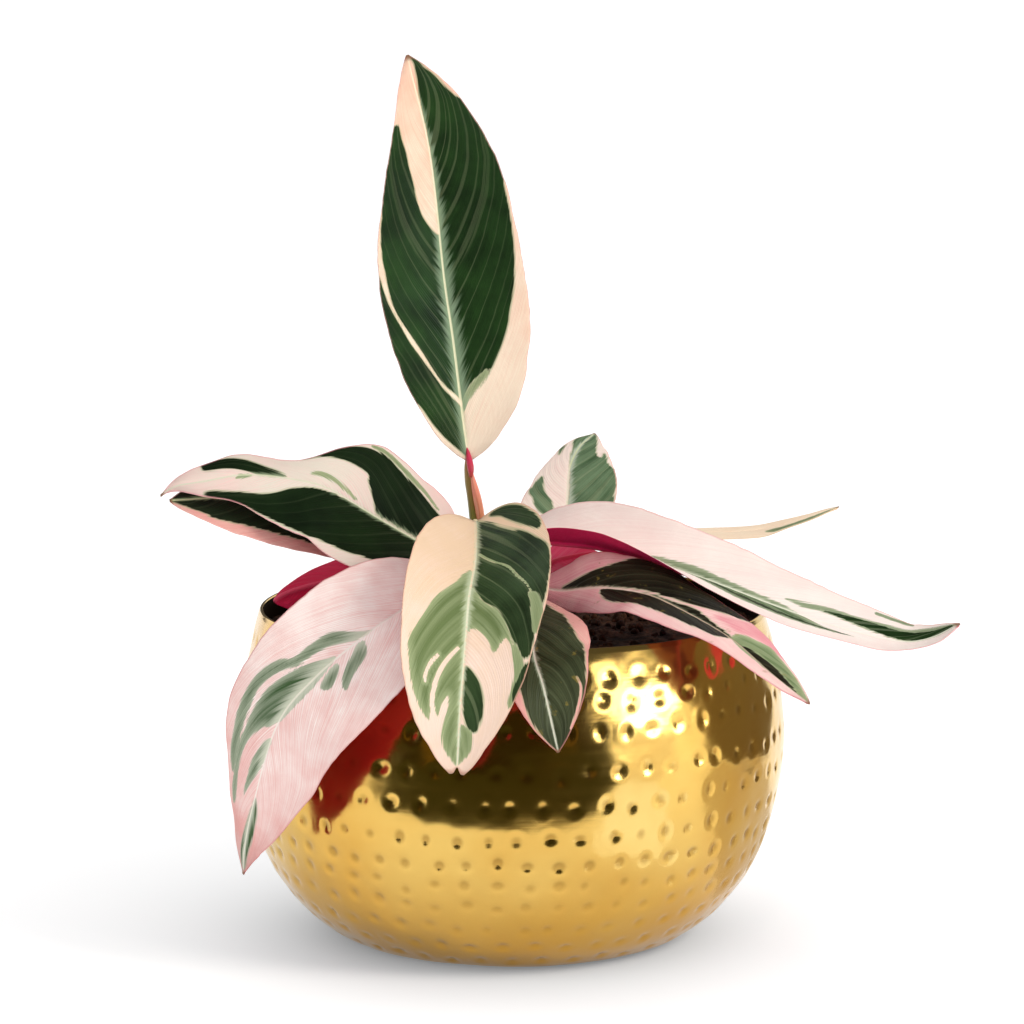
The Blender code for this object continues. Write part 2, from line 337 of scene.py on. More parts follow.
# Sizes of the grains of the plant's noises in mm.
PATCHES = 11.11
CLOUDS = 16.67
SPECKS = 3.846
UPPER_CELLS = 0.45455     # leaf cells, drawn coarser than real
LOWER_CELLS = 0.4         # leaf cells, drawn coarser than real
FINE_VEIN_GAP = 1.6       # mm between the finest side veins, as in the real leaf
FINE_VEIN_BEND = 5.0      # radians that they wander
BORDER_WANDER = 1.6       # mm that the border of a tissue wanders where its raggedness is 1


def per_metre(grain: float) -> float:
    """Scale of a noise whose grains have a size in mm."""
    return 1 / (grain * MM)


def linear(colour: str) -> tuple:
    """An sRGB hex colour as linear red, green, blue and alpha."""
    parts = [int(colour[index:index + 2], 16) / 255 for index in (1, 3, 5)]
    return (*[p / 12.92 if p <= 0.04045 else ((p + 0.055) / 1.055) ** 2.4 for p in parts], 1.0)


def add_node(tree: bpy.types.NodeTree, kind: str, inputs: dict | list, out: int | str = 0,
             **settings: object) -> Socket:
    """Add a node with its settings and links.

    Args:
        tree: The material's or world's node tree.
        kind: Node type without its common prefix.
        inputs: A number, an sRGB hex colour or a socket for each input, by name, by number or
            in order.
        out: The output to return.
        settings: The node's own options.

    Returns:
        The chosen output socket.
    """
    node = tree.nodes.new("ShaderNode" + kind)
    for name, value in settings.items():
        setattr(node, name, value)
    for name, value in inputs.items() if isinstance(inputs, dict) else enumerate(inputs):
        if isinstance(value, bpy.types.NodeSocket):
            tree.links.new(value, node.inputs[name])
        else:
            node.inputs[name].default_value = linear(value) if isinstance(value, str) else value
    return node.outputs[out]


class Surface:
    """A material under way: its node tree and its Principled shader."""

    def __init__(self, name: str, **sockets: float | str) -> None:
        """Start a material.

        Args:
            name: The material's name.
            sockets: Values or colours on the shader, with underscores for spaces in the names.
        """
        self.material = bpy.data.materials.new(name)
        self.material.use_nodes = True
        self.tree = self.material.node_tree
        self.shader = self.tree.nodes["Principled BSDF"]
        self.add = partial(add_node, self.tree)
        for socket, value in sockets.items():
            value = linear(value) if isinstance(value, str) else value
            self.shader.inputs[socket.replace("_", " ")].default_value = value

    def field(self, name: str) -> list:
        """The three values of a named field of the mesh."""
        vector = self.add("Attribute", {}, "Vector", attribute_name=name)
        return list(self.add("SeparateXYZ", [vector]).node.outputs)

    def layered(self, colour: Socket | str, *layers: tuple) -> Socket:
        """Lay colours over a first one.

        Args:
            colour: The colour at the bottom.
            layers: Share and colour of each layer, from the bottom up.

        Returns:
            The colour on top.
        """
        for share, over in layers:
            colour = self.add("Mix", {0: share, 6: colour, 7: over}, 2, data_type="RGBA")
        return colour

    def finish(self, colour: Socket, height: Socket, strength: float, depth: float,
               roughness: Socket | None = None) -> bpy.types.Material:
        """Wire the shader.

        Args:
            colour: The base colour.
            height: Height of the fine relief.
            strength: How strongly the relief shows.
            depth: Depth of the relief in mm.
            roughness: The roughness, where it isn't even.

        Returns:
            The finished material.
        """
        relief = self.add("Bump", {"Strength": strength, "Distance": depth * MM, "Height": height})
        for name, socket in (("Base Color", colour), ("Normal", relief), ("Roughness", roughness)):
            if socket is not None:
                self.tree.links.new(socket, self.shader.inputs[name])
        return self.material


class LeafSurface(Surface):
    """A leaf material under way: it reads the blade's fields and draws along its veins."""

    def __init__(self, name: str, **sockets: float) -> None:
        """Start a material and read the blade's tissues and distances.

        Args:
            name: The material's name.
            sockets: Values on the shader.
        """
        super().__init__(name, **sockets)
        self.green, self.milky, self.flush = self.field("tissue")
        self.rib, self.edge, self.vein = self.field("place")

    def veined(self, across: float, along: float, detail: float, shift: float,
               rough: float = 0.55) -> Socket:
        """Noise drawn out along the side veins.

        Args:
            across: Its grain across the veins in mm.
            along: Its grain along them in mm.
            detail: How many finer layers it has.
            shift: Which of many noises to read.
            rough: How strong the finer layers are.

        Returns:
            Values from 0 to 1.
        """
        spot = self.add("CombineXYZ", [self.add("Math", [self.vein, across], operation="DIVIDE"),
                                       self.add("Math", [self.rib, along], operation="DIVIDE"), shift])
        return self.add("TexNoise", {"Vector": spot, "Scale": 1.0, "Detail": detail,
                                     "Roughness": rough})

    def waves(self, gap: float, noise: Socket, bend: float) -> Socket:
        """Waves that follow the side veins.

        Args:
            gap: Distance between two waves in mm.
            noise: What makes them uneven.
            bend: How far it moves them, in radians.

        Returns:
            Values from -1 to 1.
        """
        even = self.add("Math", [self.vein, TURN / gap], operation="MULTIPLY")
        return self.add("Math", [self.add("Math", [noise, bend, even], operation="MULTIPLY_ADD")],
                        operation="SINE")

    def border(self, depth: Socket, noise: Socket, wander: float, soft: float,
               most: float = 1.0) -> Socket:
        """Share of a tissue from its depth inside its border, which wanders with a noise.

        Args:
            depth: Distance inside the border in mm.
            noise: What moves the border.
            wander: How far it moves at most, in mm.
            soft: Half width of the change in mm.
            most: The share well inside.

        Returns:
            The share.
        """
        moved = self.add("Math", [noise, wander, depth], operation="MULTIPLY_ADD")
        return self.add("MapRange", [moved, wander / 2 - soft, wander / 2 + soft, 0.0, most],
                        interpolation_type="SMOOTHSTEP")


@dataclass(frozen=True)
class LeafFinish:
    """Upper side of a variegated leaf: living tissue grown with a thin waxy cuticle.

    The wax gives it a soft satin sheen that varies along the veins, and the broad lighter
    streaks in its full green are painted sheen. The tissues lie in sharp but ragged areas over
    each other, as the leaf's own colours do.
    """

    cream: str = "#F7DDBF"
    blush: str = "#F0CBC6"
    deep: str = "#12240C"
    deep_light: str = "#27461B"
    feather: str = "#93A878"
    milky: str = "#64784F"
    milky_light: str = "#A5AE86"
    rib: str = "#CDD4A8"
    rim: str = "#EDB9AE"
    spots: str = "#8C7A34"
    dry_tip: str = "#8F5E40"
    ragged: float = 1.4        # how far the tissues' borders wander
    seam: float = 0.5          # mm of half-green tissue round full green
    feather_reach: float = 3.0  # mm that the pale halo reaches out from the midrib on average
    pale_gap: float = 10.0     # mm between side veins that show pale, about every other one
    vein_light: float = 0.22   # how much these veins lighten the green
    streaks: float = 1.0       # how strongly the green is streaked along the veins: partly its own tone, partly painted sheen
    rib_width: float = 0.6     # mm, half width of the pale midrib
    rim_width: float = 0.3     # mm, width of the coloured edge
    spot_share: float = 0.0    # how much of the blade has brown spots

    def material(self, name: str) -> bpy.types.Material:
        """The upper side's material, read from the blade's own fields."""
        return UpperSide(name, self).dress()


class UpperSide(LeafSurface):
    """The upper side's material under way, with the noises that its parts share."""

    def __init__(self, name: str, look: LeafFinish) -> None:
        """Start the material.

        Args:
            name: The leaf's name.
            look: Its finish.
        """
        super().__init__("living_leaf_waxy_" + name, IOR=1.38, Specular_IOR_Level=0.2,
                         Coat_Weight=0.04, Coat_Roughness=0.25)
        self.look = look
        self.spot = self.add("TexCoord", {}, "Object")
        self.share = self.add("SeparateXYZ", [self.add("UVMap", {}, uv_map="surface")], 1)
        self.wide = self.veined(2.2, 26.0, 3.0, 3.1)
        self.fine = self.veined(0.9, 11.0, 2.0, 8.7)
        self.broad = self.veined(5.5, 60.0, 2.0, 1.3)
        self.patchy = self.noise(PATCHES, 3.0)
        self.veins = self.waves(FINE_VEIN_GAP, self.wide, FINE_VEIN_BEND)

    def noise(self, grain: float, detail: float) -> Socket:
        """Even noise from 0 to 1, with a grain in mm and some finer layers."""
        return self.add("TexNoise", {"Vector": self.spot, "Scale": per_metre(grain), "Detail": detail})

    def dress(self) -> bpy.types.Material:
        """Lay the tissues over each other, then the halo, spots, edge, midrib and tip.

        Returns:
            The finished material.
        """
        add, look, wander = self.add, self.look, BORDER_WANDER * self.look.ragged
        is_milky = self.border(self.milky, self.fine, wander, 0.3)
        is_green = self.border(self.green, self.wide, wander, 0.25)
        outer = add("Math", [self.green, look.seam], operation="ADD")
        seam = self.border(outer, self.wide, wander, 0.35, 0.7)
        coloured = add("Math", [is_green, is_milky], operation="MAXIMUM")
        halo = add("Math", [self.halo(), coloured], operation="MULTIPLY")
        colour = self.layered(self.colourless(), (is_milky, self.half_green()), (seam, look.milky_light),
                              (is_green, self.full_green()), (halo, look.feather))
        if look.spot_share:
            specks = add("MapRange", [self.noise(SPECKS, 2.0), 0.62, 0.68, 0.0, look.spot_share])
            inside = add("MapRange", [self.patchy, 0.5, 0.6])
            colour = self.layered(colour, (add("Math", [specks, inside], operation="MULTIPLY"),
                                           look.spots))
        edge = add("Math", [self.fine, 0.6, self.edge], operation="MULTIPLY_ADD")
        edge = add("MapRange", [edge, look.rim_width + 0.3, look.rim_width + 0.7, 0.6, 0.0])
        thinner = add("MapRange", [self.share, 0.0, 1.0, 0.9, 2.0])
        thin = add("Math", [self.rib, thinner], operation="MULTIPLY")
        thin = add("MapRange", [thin, 0.6 * look.rib_width, 1.25 * look.rib_width, 0.9, 0.0])
        rib = self.layered(look.cream, (0.35, look.rib), (coloured, look.rib))
        tip = add("Math", [self.fine, 0.012, self.share], operation="MULTIPLY_ADD")
        tip = add("MapRange", [tip, 0.990, 0.999, 0.0, 0.85])
        colour = self.layered(colour, (edge, look.rim), (thin, rib), (tip, look.dry_tip))
        gloss = add("MapRange", [self.fine, 0.0, 1.0, 0.36, 0.56])
        return self.finish(colour, self.relief(), 0.8, 0.16, gloss)

    def colourless(self) -> Socket:
        """Tissue without green: cream that blushes pink, with faintly darker veins.

        Returns:
            The colour.
        """
        flush = self.add("Math", [self.patchy, 1.1, self.flush], operation="MULTIPLY_ADD")
        flush = self.add("Math", [self.fine, 1.1, flush], operation="MULTIPLY_ADD")
        flush = self.add("MapRange", [flush, 1.1, 2.1])
        lines = self.add("MapRange", [self.veins, 0.1, 1.0, 0.0, 0.3])
        pinker = self.layered(self.look.blush, (0.6, self.look.rim))
        return self.layered(self.look.cream, (flush, self.look.blush), (lines, pinker))

    def half_green(self) -> Socket:
        """Half-coloured tissue: grey-green, streaked along the veins and darker in its middle.

        Returns:
            The colour.
        """
        middle = self.add("Math", [self.fine, 4.0, self.milky], operation="MULTIPLY_ADD")
        middle = self.add("MapRange", [middle, 1.6, 5.0])
        streaks = self.add("MapRange", [self.broad, 0.4, 0.62, 0.0, 0.45])
        pale = self.look.milky_light
        return self.layered(pale, (middle, self.look.milky), (streaks, pale))

    def full_green(self) -> Socket:
        """Full green, lighter in streaks and clouds, with pale side veins that fade outwards. The
        broad streaks are painted sheen between the veins; the fine ones and the clouds are its own tone.

        Returns:
            The colour.
        """
        add, look = self.add, self.look
        crest = add("MapRange", [self.waves(look.pale_gap, self.broad, 9.0), 0.6, 1.0],
                    interpolation_type="SMOOTHSTEP")
        fading = add("MapRange", [self.rib, 2.0, 24.0, look.vein_light, 0.35 * look.vein_light])
        # Broad streaks: painted sheen between the veins. Fine streaks and clouds: the green's own tone.
        lighter = [add("MapRange", [self.broad, 0.33, 0.68, 0.0, 0.5 * look.streaks]),
                   add("MapRange", [self.fine, 0.45, 0.8, 0.0, 0.35 * look.streaks]),
                   add("MapRange", [self.noise(CLOUDS, 4.0), 0.36, 0.66, 0.0, 0.4])]
        return self.layered(look.deep, *[(share, look.deep_light) for share in lighter],
                            (add("Math", [crest, fading], operation="MULTIPLY"), look.milky_light))

    def halo(self) -> Socket:
        """Pale halo of uneven reach beside the midrib, which narrows towards the tip.

        Returns:
            Share of the halo.
        """
        mean = self.look.feather_reach
        reach = self.add("MapRange", [self.wide, 0.34, 0.66, 0.7 * mean, 1.9 * mean])
        shrink = self.add("MapRange", [self.share, 0.35, 0.95, 1.0, 0.25])
        reach = self.add("Math", [reach, shrink], operation="MULTIPLY")
        return self.add("MapRange", [self.rib, 0.2, reach, 0.85, 0.0], interpolation_type="SMOOTHSTEP")

    def relief(self) -> Socket:
        """Raised veins and the cells between them.

        Returns:
            Height of the relief.
        """
        ridges = self.add("Math", [self.broad, 1.5], operation="MULTIPLY")
        height = self.add("Math", [self.noise(UPPER_CELLS, 2.0), 0.35, ridges], operation="MULTIPLY_ADD")
        return self.add("Math", [self.veins, 0.22, height], operation="MULTIPLY_ADD")


@dataclass(frozen=True)
class UndersideFinish:
    """Lower side of a leaf: red-skinned tissue, grown without wax.

    It is wine red under green tissue and pink under colourless tissue, and looks matt. Some
    leaves wear lighter copies of it where their undersides lie in shade, as painted light.
    """

    wine: str = "#A80C38"
    wine_light: str = "#C4164A"
    pink: str = "#CC2C58"
    rib: str = "#D24A66"

    def material(self, name: str) -> bpy.types.Material:
        """The lower side's material, read from the blade's own fields.

        Args:
            name: The leaf's name.

        Returns:
            The material.
        """
        leaf = LeafSurface("living_leaf_underside_" + name, Roughness=0.5, IOR=1.4,
                           Specular_IOR_Level=0.3)
        add = leaf.add
        streak = leaf.veined(1.8, 22.0, 3.0, 0.0, 0.5)
        veins = leaf.waves(FINE_VEIN_GAP, streak, FINE_VEIN_BEND)
        under = add("Math", [leaf.green, leaf.milky], operation="MAXIMUM")
        under = add("MapRange", [add("Math", [streak, 4.0, under], operation="MULTIPLY_ADD"), 0.5, 3.0],
                    interpolation_type="SMOOTHSTEP")
        colour = leaf.layered(self.pink, (under, leaf.layered(self.wine, (streak, self.wine_light))),
                              (add("MapRange", [veins, 0.3, 1.0, 0.0, 0.14]), self.wine),
                              (add("MapRange", [leaf.rib, 0.5, 1.1, 0.8, 0.0]), self.rib))
        cells = add("TexNoise", {"Vector": add("TexCoord", {}, "Object"),
                                 "Scale": per_metre(LOWER_CELLS), "Detail": 2.0})
        return leaf.finish(colour, add("Math", [veins, 0.5, cells], operation="MULTIPLY_ADD"), 0.5, 0.1)


# -------- leaves

class Tissue(Enum):
    """Kinds of leaf tissue in a variegated blade."""

    CREAM = "without green"
    MILKY = "half green"
    DEEP = "full green"
    PINK = "without green, strongly flushed"


@dataclass(frozen=True)
class Patch:
    """An area of one tissue; its border runs through (share of length, share of half width)."""

    tissue: Tissue
    border: list

    def depth(self, place: Array, flatten: Callable[[Array], Array]) -> Array:
        """How far corners lie inside the area, once its border is flattened to mm."""
        return depth_inside(place, flatten(closed_curve(self.border)))


@dataclass(frozen=True)
class Stripe:
    """A line of one tissue along a vein, through (share of length, share of half width)."""

    tissue: Tissue
    route: list
    widths: tuple              # mm at even steps
    steps: int = 90
    slope: float = 2.5         # how much faster than in a patch the depth grows

    def depth(self, place: Array, flatten: Callable[[Array], Array]) -> Array:
        """How far corners lie inside the line.

        Args:
            place: The corners on the flattened blade.
            flatten: What turns shares of the blade's sizes into mm.

        Returns:
            One distance in mm for each corner.
        """
        gaps = np.linalg.norm(place[:, None] - flatten(even_curve(self.route, self.steps))[None], axis=-1)
        half = along_piece(self.widths, np.linspace(0, 1, self.steps)) / 2
        return self.slope * np.max(half[None] - gaps, axis=1)


@dataclass(frozen=True)
class Leaf:
    """A leaf: where it runs, how wide it is and how its tissues lie.

    route is the midrib from base to tip. face is the way that the upper side looks, at even
    steps along it. left and right are half widths at even steps, seen on the upper side with
    the tip away. outline is how early and how fast the blade widens and narrows. fold is the
    rise of each half in degrees, curl the further rise by its margin. foot is the stalk's
    direction out of the crown, and via the points that it passes.
    """

    name: str
    route: list
    face: list
    left: tuple
    right: tuple
    outline: tuple
    fold: tuple
    curl: float
    foot: tuple
    via: list = field(default_factory=list)
    ground: Tissue = Tissue.CREAM
    flush: tuple = (0.4, 0.4)      # how pink the colourless tissue is, along the blade
    marks: list = field(default_factory=list)
    upper: LeafFinish = LeafFinish()
    under: UndersideFinish = UndersideFinish()
    ripple: float = 0.7            # mm that the margins wave
    beak: float = 0.0              # mm that the dry tip hooks down
    blunt: float = 0.0             # mm, extra half width of a split tip
    tuck: float = 0.8              # mm that the stalk's top dips under the blade


@dataclass(frozen=True)
class BladeGrid:
    """Where each corner of a blade lies: rows run across the midrib, from base to tip."""

    share: Array                   # share of the length
    column: Array                  # share of the half width, negative on the left
    width: Array                   # half width in mm
    vein: Array                    # mm from the base at which the corner's side vein starts

    @property
    def rib(self) -> Array:
        """Distance from the midrib in mm."""
        return np.abs(self.column) * self.width

    @property
    def edge(self) -> Array:
        """Distance from the margin in mm."""
        return (1 - np.abs(self.column)) * self.width


@dataclass(frozen=True)
class Blade:
    """A leaf's blade: a thin shell with a raised midrib, side veins and waving margins."""

    leaf: Leaf
    step: float = 1.0              # mm between rows
    half_columns: int = 34
    thickness: float = 0.5
    margin_power: int = 10         # how suddenly the blade thins out at its margin
    keel: float = 1.1              # mm that the midrib stands out below, at the base
    keel_width: float = 0.95       # mm, about half the width at its foot
    keel_taper: float = 0.75       # share of the keel that is lost by the tip
    groove: float = 0.35           # mm that it sinks in above
    groove_width: float = 0.9
    vein_gap: float = 5.5          # mm between the broad side veins
    vein_rise: float = 0.1
    vein_sweep: float = 0.48       # share of the length that a side vein runs forward
    vein_bend: tuple = (0.4, 2.4)  # share of that run that comes late, and by which power
    vein_taper: float = 0.3        # share of the run that is lost by the tip
    nicks: tuple = ((0.45, 9.0), (0.22, 2.6))   # depth and length of the margin's nicks
    nick_places: tuple = (50.0, 90.0)   # where the left and right margin read the nicks' field
    nick_width: float = 8.0        # mm, half width from which the nicks are at their full depth
    blunt_share: float = 11 / 12   # share of the length where a blunt tip starts to widen
    wave_grain: float = 11.0       # mm over which the margin waves
    wave_shift: float = 40.0       # mm that the two halves lie from the midrib in the waves' field
    wave_squeeze: float = 0.3      # how much of a corner's way out counts in that field
    wave_growth: float = 2.5       # power by which the waves grow towards the margin
    beak_share: float = 0.93       # share of the length where the tip starts to hook down
    split_share: float = 0.95      # share of the length where the tip starts to split
    split_depth: float = 1.1       # how deep it splits, as a share of its extra half width
    split_width: float = 0.35      # share of the half width
    flat_ends: float = 0.08        # share of the length over which the relief begins and ends
    flat_sides: float = 3.0        # mm over which the veins begin and end

    @property
    def span(self) -> float:
        """Length of the midrib."""
        return length(even_curve(self.leaf.route, 200))

    @property
    def seed(self) -> int:
        """Number that picks the leaf's own nicks and waves."""
        return sum(ord(letter) for letter in self.leaf.name)

    def frame_at(self, count: int) -> tuple:
        """The blade's frame at even steps.

        Args:
            count: How many steps.

        Returns:
            Midrib points, and directions along it, to the right and up.
        """
        midrib = even_curve(self.leaf.route, count)
        along = unit(np.gradient(midrib, axis=0))
        up = smooth_through(unit(self.leaf.face), np.linspace(0, 1, count))
        up = unit(up - along * np.sum(along * up, axis=-1, keepdims=True))
        return midrib, along, np.cross(along, up), up

    def half_widths(self, side: tuple, steps: Array) -> Array:
        """Even half widths of one side.

        Args:
            side: The side's half widths at even steps.
            steps: Shares of the length.

        Returns:
            One half width for each share.
        """
        rise, fall = self.leaf.outline
        peak = rise / (rise + fall)
        shape = steps ** rise * (1 - steps) ** fall / (peak ** rise * (1 - peak) ** fall)
        return np.maximum(shape * along_piece(side, steps), BLADE_BASE + (BLADE_TIP - BLADE_BASE) * steps)

    def margin(self, side: tuple, steps: Array, place: float) -> Array:
        """Half widths of one side with its small nicks, and with a blunt tip if it has one.

        Args:
            side: The side's half widths at even steps.
            steps: Shares of the length.
            place: Where the side reads the nicks' field.

        Returns:
            One half width for each share.
        """
        width = self.half_widths(side, steps)
        spots = np.zeros((len(steps), 3)) + (0, place, 0)
        spots[:, 0] = steps * self.span
        uneven = sum(depth * lumps(spots, grain, self.seed + index)
                     for index, (depth, grain) in enumerate(self.nicks))
        blunt = self.leaf.blunt * ramp(steps, self.blunt_share, 1)
        return width + uneven * ramp(width, 0, self.nick_width) + blunt

    def tissues(self, lay: BladeGrid) -> Array:
        """What the materials read of the tissues.

        Args:
            lay: The blade's grid.

        Returns:
            For each corner: mm inside green, mm inside half-green, and how flushed it is.
        """
        place = np.stack([lay.column * lay.width, lay.share * self.span], axis=-1).reshape(-1, 2)
        steps = np.linspace(0, 1, 60)
        left, right = (self.half_widths(side, steps) for side in (self.leaf.left, self.leaf.right))

        def flatten(points: Array) -> Array:
            """Turn shares of the length and of the half width into mm."""
            widest = np.where(points[:, 1] < 0, np.interp(points[:, 0], steps, left),
                              np.interp(points[:, 0], steps, right))
            return np.stack([points[:, 1] * widest, points[:, 0] * self.span], axis=-1)

        far = 20.0                 # mm from any border, so that none of it shows
        deep = np.full(len(place), far if self.leaf.ground is Tissue.DEEP else -far)
        milky = np.full(len(place), -far)
        flush = along_piece(self.leaf.flush, lay.share.ravel())
        for mark in self.leaf.marks:
            depth = mark.depth(place, flatten)
            if mark.tissue is Tissue.DEEP:
                deep = np.maximum(deep, depth)
                continue
            deep = np.minimum(deep, -depth)
            milky = np.maximum(milky, depth) if mark.tissue is Tissue.MILKY else np.minimum(milky, -depth)
            if mark.tissue is Tissue.PINK:
                flush = np.maximum(flush, ramp(depth, -1.5, 1.5))
        return np.stack([deep, milky, flush], axis=-1).reshape(*lay.share.shape, 3)

    def grid(self) -> tuple:
        """Lay out the blade's corners on a smooth sheet.

        Returns:
            The grid, the corners in space, and the directions along the midrib and up.
        """
        rows = int(self.span / self.step) + 8
        steps = np.linspace(0, 1, rows)
        midrib, along, right, up = self.frame_at(rows)
        half = np.linspace(0, 1, self.half_columns + 1)
        half = half - 0.5 * np.sin(TURN * half) / TURN      # finer by the midrib and the margin
        columns = np.concatenate([-half[:0:-1], half])
        lean = math.radians(self.leaf.curl) / 2 * np.abs(columns)
        angle = np.radians(along_piece(self.leaf.fold, steps))[:, None] + lean
        margins = [self.margin(side, steps, place)[:, None] for side, place in zip(
            (self.leaf.left, self.leaf.right), self.nick_places)]
        width = np.where(columns < 0, *margins)
        reach = np.abs(columns) * width
        across = np.sign(columns) * reach * np.cos(angle)
        points = (midrib[:, None] + across[..., None] * right[:, None]
                  + (reach * np.sin(angle))[..., None] * up[:, None])
        share = np.repeat(steps[:, None], len(columns), axis=1)
        late, power = self.vein_bend
        bend = (1 - late) * np.abs(columns) + late * np.abs(columns) ** power
        vein = share * self.span - self.vein_sweep * self.span * bend * (1 - self.vein_taper * share)
        return BladeGrid(share, np.tile(columns, (rows, 1)), width, vein), points, along, up

    def relief(self, lay: BladeGrid) -> Array:
        """Waves, side veins and the groove over the midrib.

        Args:
            lay: The blade's grid.

        Returns:
            Height of every corner over the smooth sheet.
        """
        across = np.sign(lay.column) * self.wave_shift + lay.rib * self.wave_squeeze
        place = np.stack([lay.share * self.span, across, np.zeros_like(across)], axis=-1)
        wave = lumps(place, self.wave_grain, self.seed) * self.leaf.ripple
        wave = wave * np.abs(lay.column) ** self.wave_growth
        veins = np.sin(TURN * lay.vein / self.vein_gap + 2 * wave) * self.vein_rise
        veins = veins * ramp(lay.rib, 0, self.flat_sides) * ramp(lay.edge, 0, self.flat_sides)
        ends = ramp(np.minimum(lay.share, 1 - lay.share), 0, self.flat_ends)
        return (wave + veins - self.groove * bell(lay.rib, self.groove_width)) * ends

    @staticmethod
    def shell_faces(inner: Array, facing: float) -> tuple:
        """Faces of both sides, which share the corners of the margin.

        Args:
            inner: Which corners lie inside the margin; the lower side has these for itself.
            facing: 1 if the grid's rows and columns turn so that its faces look up, or -1.

        Returns:
            The faces, and the number of the material that each wears.
        """
        number = np.arange(inner.size).reshape(inner.shape)
        below = number.copy()
        below[inner] = inner.size + np.arange(int(inner.sum()))
        sides = []
        for layer, flip in ((number, facing < 0), (below, facing > 0)):
            corners = [layer[:-1, :-1], layer[1:, :-1], layer[1:, 1:], layer[:-1, 1:]]
            sides.append(np.stack(corners[::-1] if flip else corners, axis=-1).reshape(-1, 4))
        return np.concatenate(sides).tolist(), [0] * len(sides[0]) + [1] * len(sides[1])

    def build(self) -> Object:
        """Make the blade with both its sides and the fields that its materials read.

        Returns:
            The new object.
        """
        leaf = self.leaf
        lay, points, along, up = self.grid()
        normal = unit(np.cross(np.gradient(points, axis=0), np.gradient(points, axis=1)))
        normal[0] = normal[1]
        middle = len(up) // 2
        facing = np.sign(np.sum(normal[middle, self.half_columns] * up[middle]))
        normal = normal * facing
        points = points + normal * self.relief(lay)[..., None]
        points[..., 2] -= ramp(lay.share, self.beak_share, 1) ** 2 * leaf.beak
        split = ramp(lay.share, self.split_share, 1) ** 2 * bell(lay.column, self.split_width)
        points = points - along[:, None] * (self.split_depth * leaf.blunt * split)[..., None]
        shell = self.thickness / 2 * np.sqrt(np.clip(1 - np.abs(lay.column) ** self.margin_power, 0, 1))
        keel = self.keel * (1 - self.keel_taper * lay.share) * bell(lay.rib, self.keel_width)

        inner = np.ones(lay.share.shape, bool)
        inner[0] = inner[-1] = inner[:, 0] = inner[:, -1] = False
        both = [(points + normal * shell[..., None]).reshape(-1, 3),
                (points - normal * (shell + keel)[..., None])[inner]]
        faces, wears = self.shell_faces(inner, facing)
        tissue, place, uv = (np.concatenate([rows.reshape(-1, rows.shape[-1]), rows[inner]]) for rows in (
            self.tissues(lay), np.stack([lay.rib, lay.edge, lay.vein], axis=-1),
            np.stack([lay.column / 2 + 0.5, lay.share], axis=-1)))
        piece = Piece("blade_" + leaf.name, "leaf_" + leaf.name, "leaf_blade",
                      [leaf.upper.material(leaf.name), leaf.under.material(leaf.name)])
        return piece.build(np.concatenate(both), faces, wears, uv, {"tissue": tissue, "place": place})


# -------- stalks, sheath and shoot

@dataclass(frozen=True)
class StalkFinish:
    """Leaf stalk: a juicy, fibrous stem grown with a thin skin.

    Its fibres show as fine, darker ribs along it, and the skin gives them a soft shine.
    """

    low: str = "#7A6A38"
    high: str = "#8F5A3A"
    fibre: str = "#5B4A2A"
    turning: tuple = (14.0, 44.0)  # mm up the stem between which low turns to high
    roughness: float = 0.45
    fibre_turns: float = 16.0      # grains of fibre in half a turn
    fibre_length: float = 11.11    # mm
    uneven: float = 24.0           # mm that patches move the turn from low to high

    def material(self, name: str) -> bpy.types.Material:
        """The skin's material; the surface coordinates are half turns around and mm along.

        Args:
            name: The leaf's name.

        Returns:
            The material.
        """
        skin = Surface("fibrous_stem_skin_" + name, Roughness=self.roughness, IOR=1.45,
                       Coat_Weight=0.1, Coat_Roughness=0.3)
        add = skin.add
        around, along, _ = add("SeparateXYZ", [add("UVMap", {}, uv_map="surface")]).node.outputs
        spot = add("CombineXYZ", [add("Math", [around, self.fibre_turns], operation="MULTIPLY"),
                                  add("Math", [along, self.fibre_length], operation="DIVIDE")])
        fibres = add("TexNoise", {"Vector": spot, "Scale": 1.0, "Detail": 3.0})
        patches = add("TexNoise", {"Vector": add("TexCoord", {}, "Object"),
                                   "Scale": per_metre(PATCHES), "Detail": 3.0})
        height = add("Math", [patches, self.uneven, along], operation="MULTIPLY_ADD")
        turning = [end + self.uneven / 2 for end in self.turning]
        colour = skin.layered(self.low, (add("MapRange", [height, *turning]), self.high),
                              (add("MapRange", [fibres, 0.5, 0.75, 0.0, 0.6]), self.fibre))
        return skin.finish(colour, fibres, 0.6, 0.2)


@dataclass(frozen=True)
class StemRow:
    """Rings of a stem-like piece: centre line, two cross directions and mm along it."""

    centre: Array
    first: Array
    second: Array
    run: Array

    @property
    def share(self) -> Array:
        """Share of the stem's length at each ring."""
        return self.run / self.run[-1]


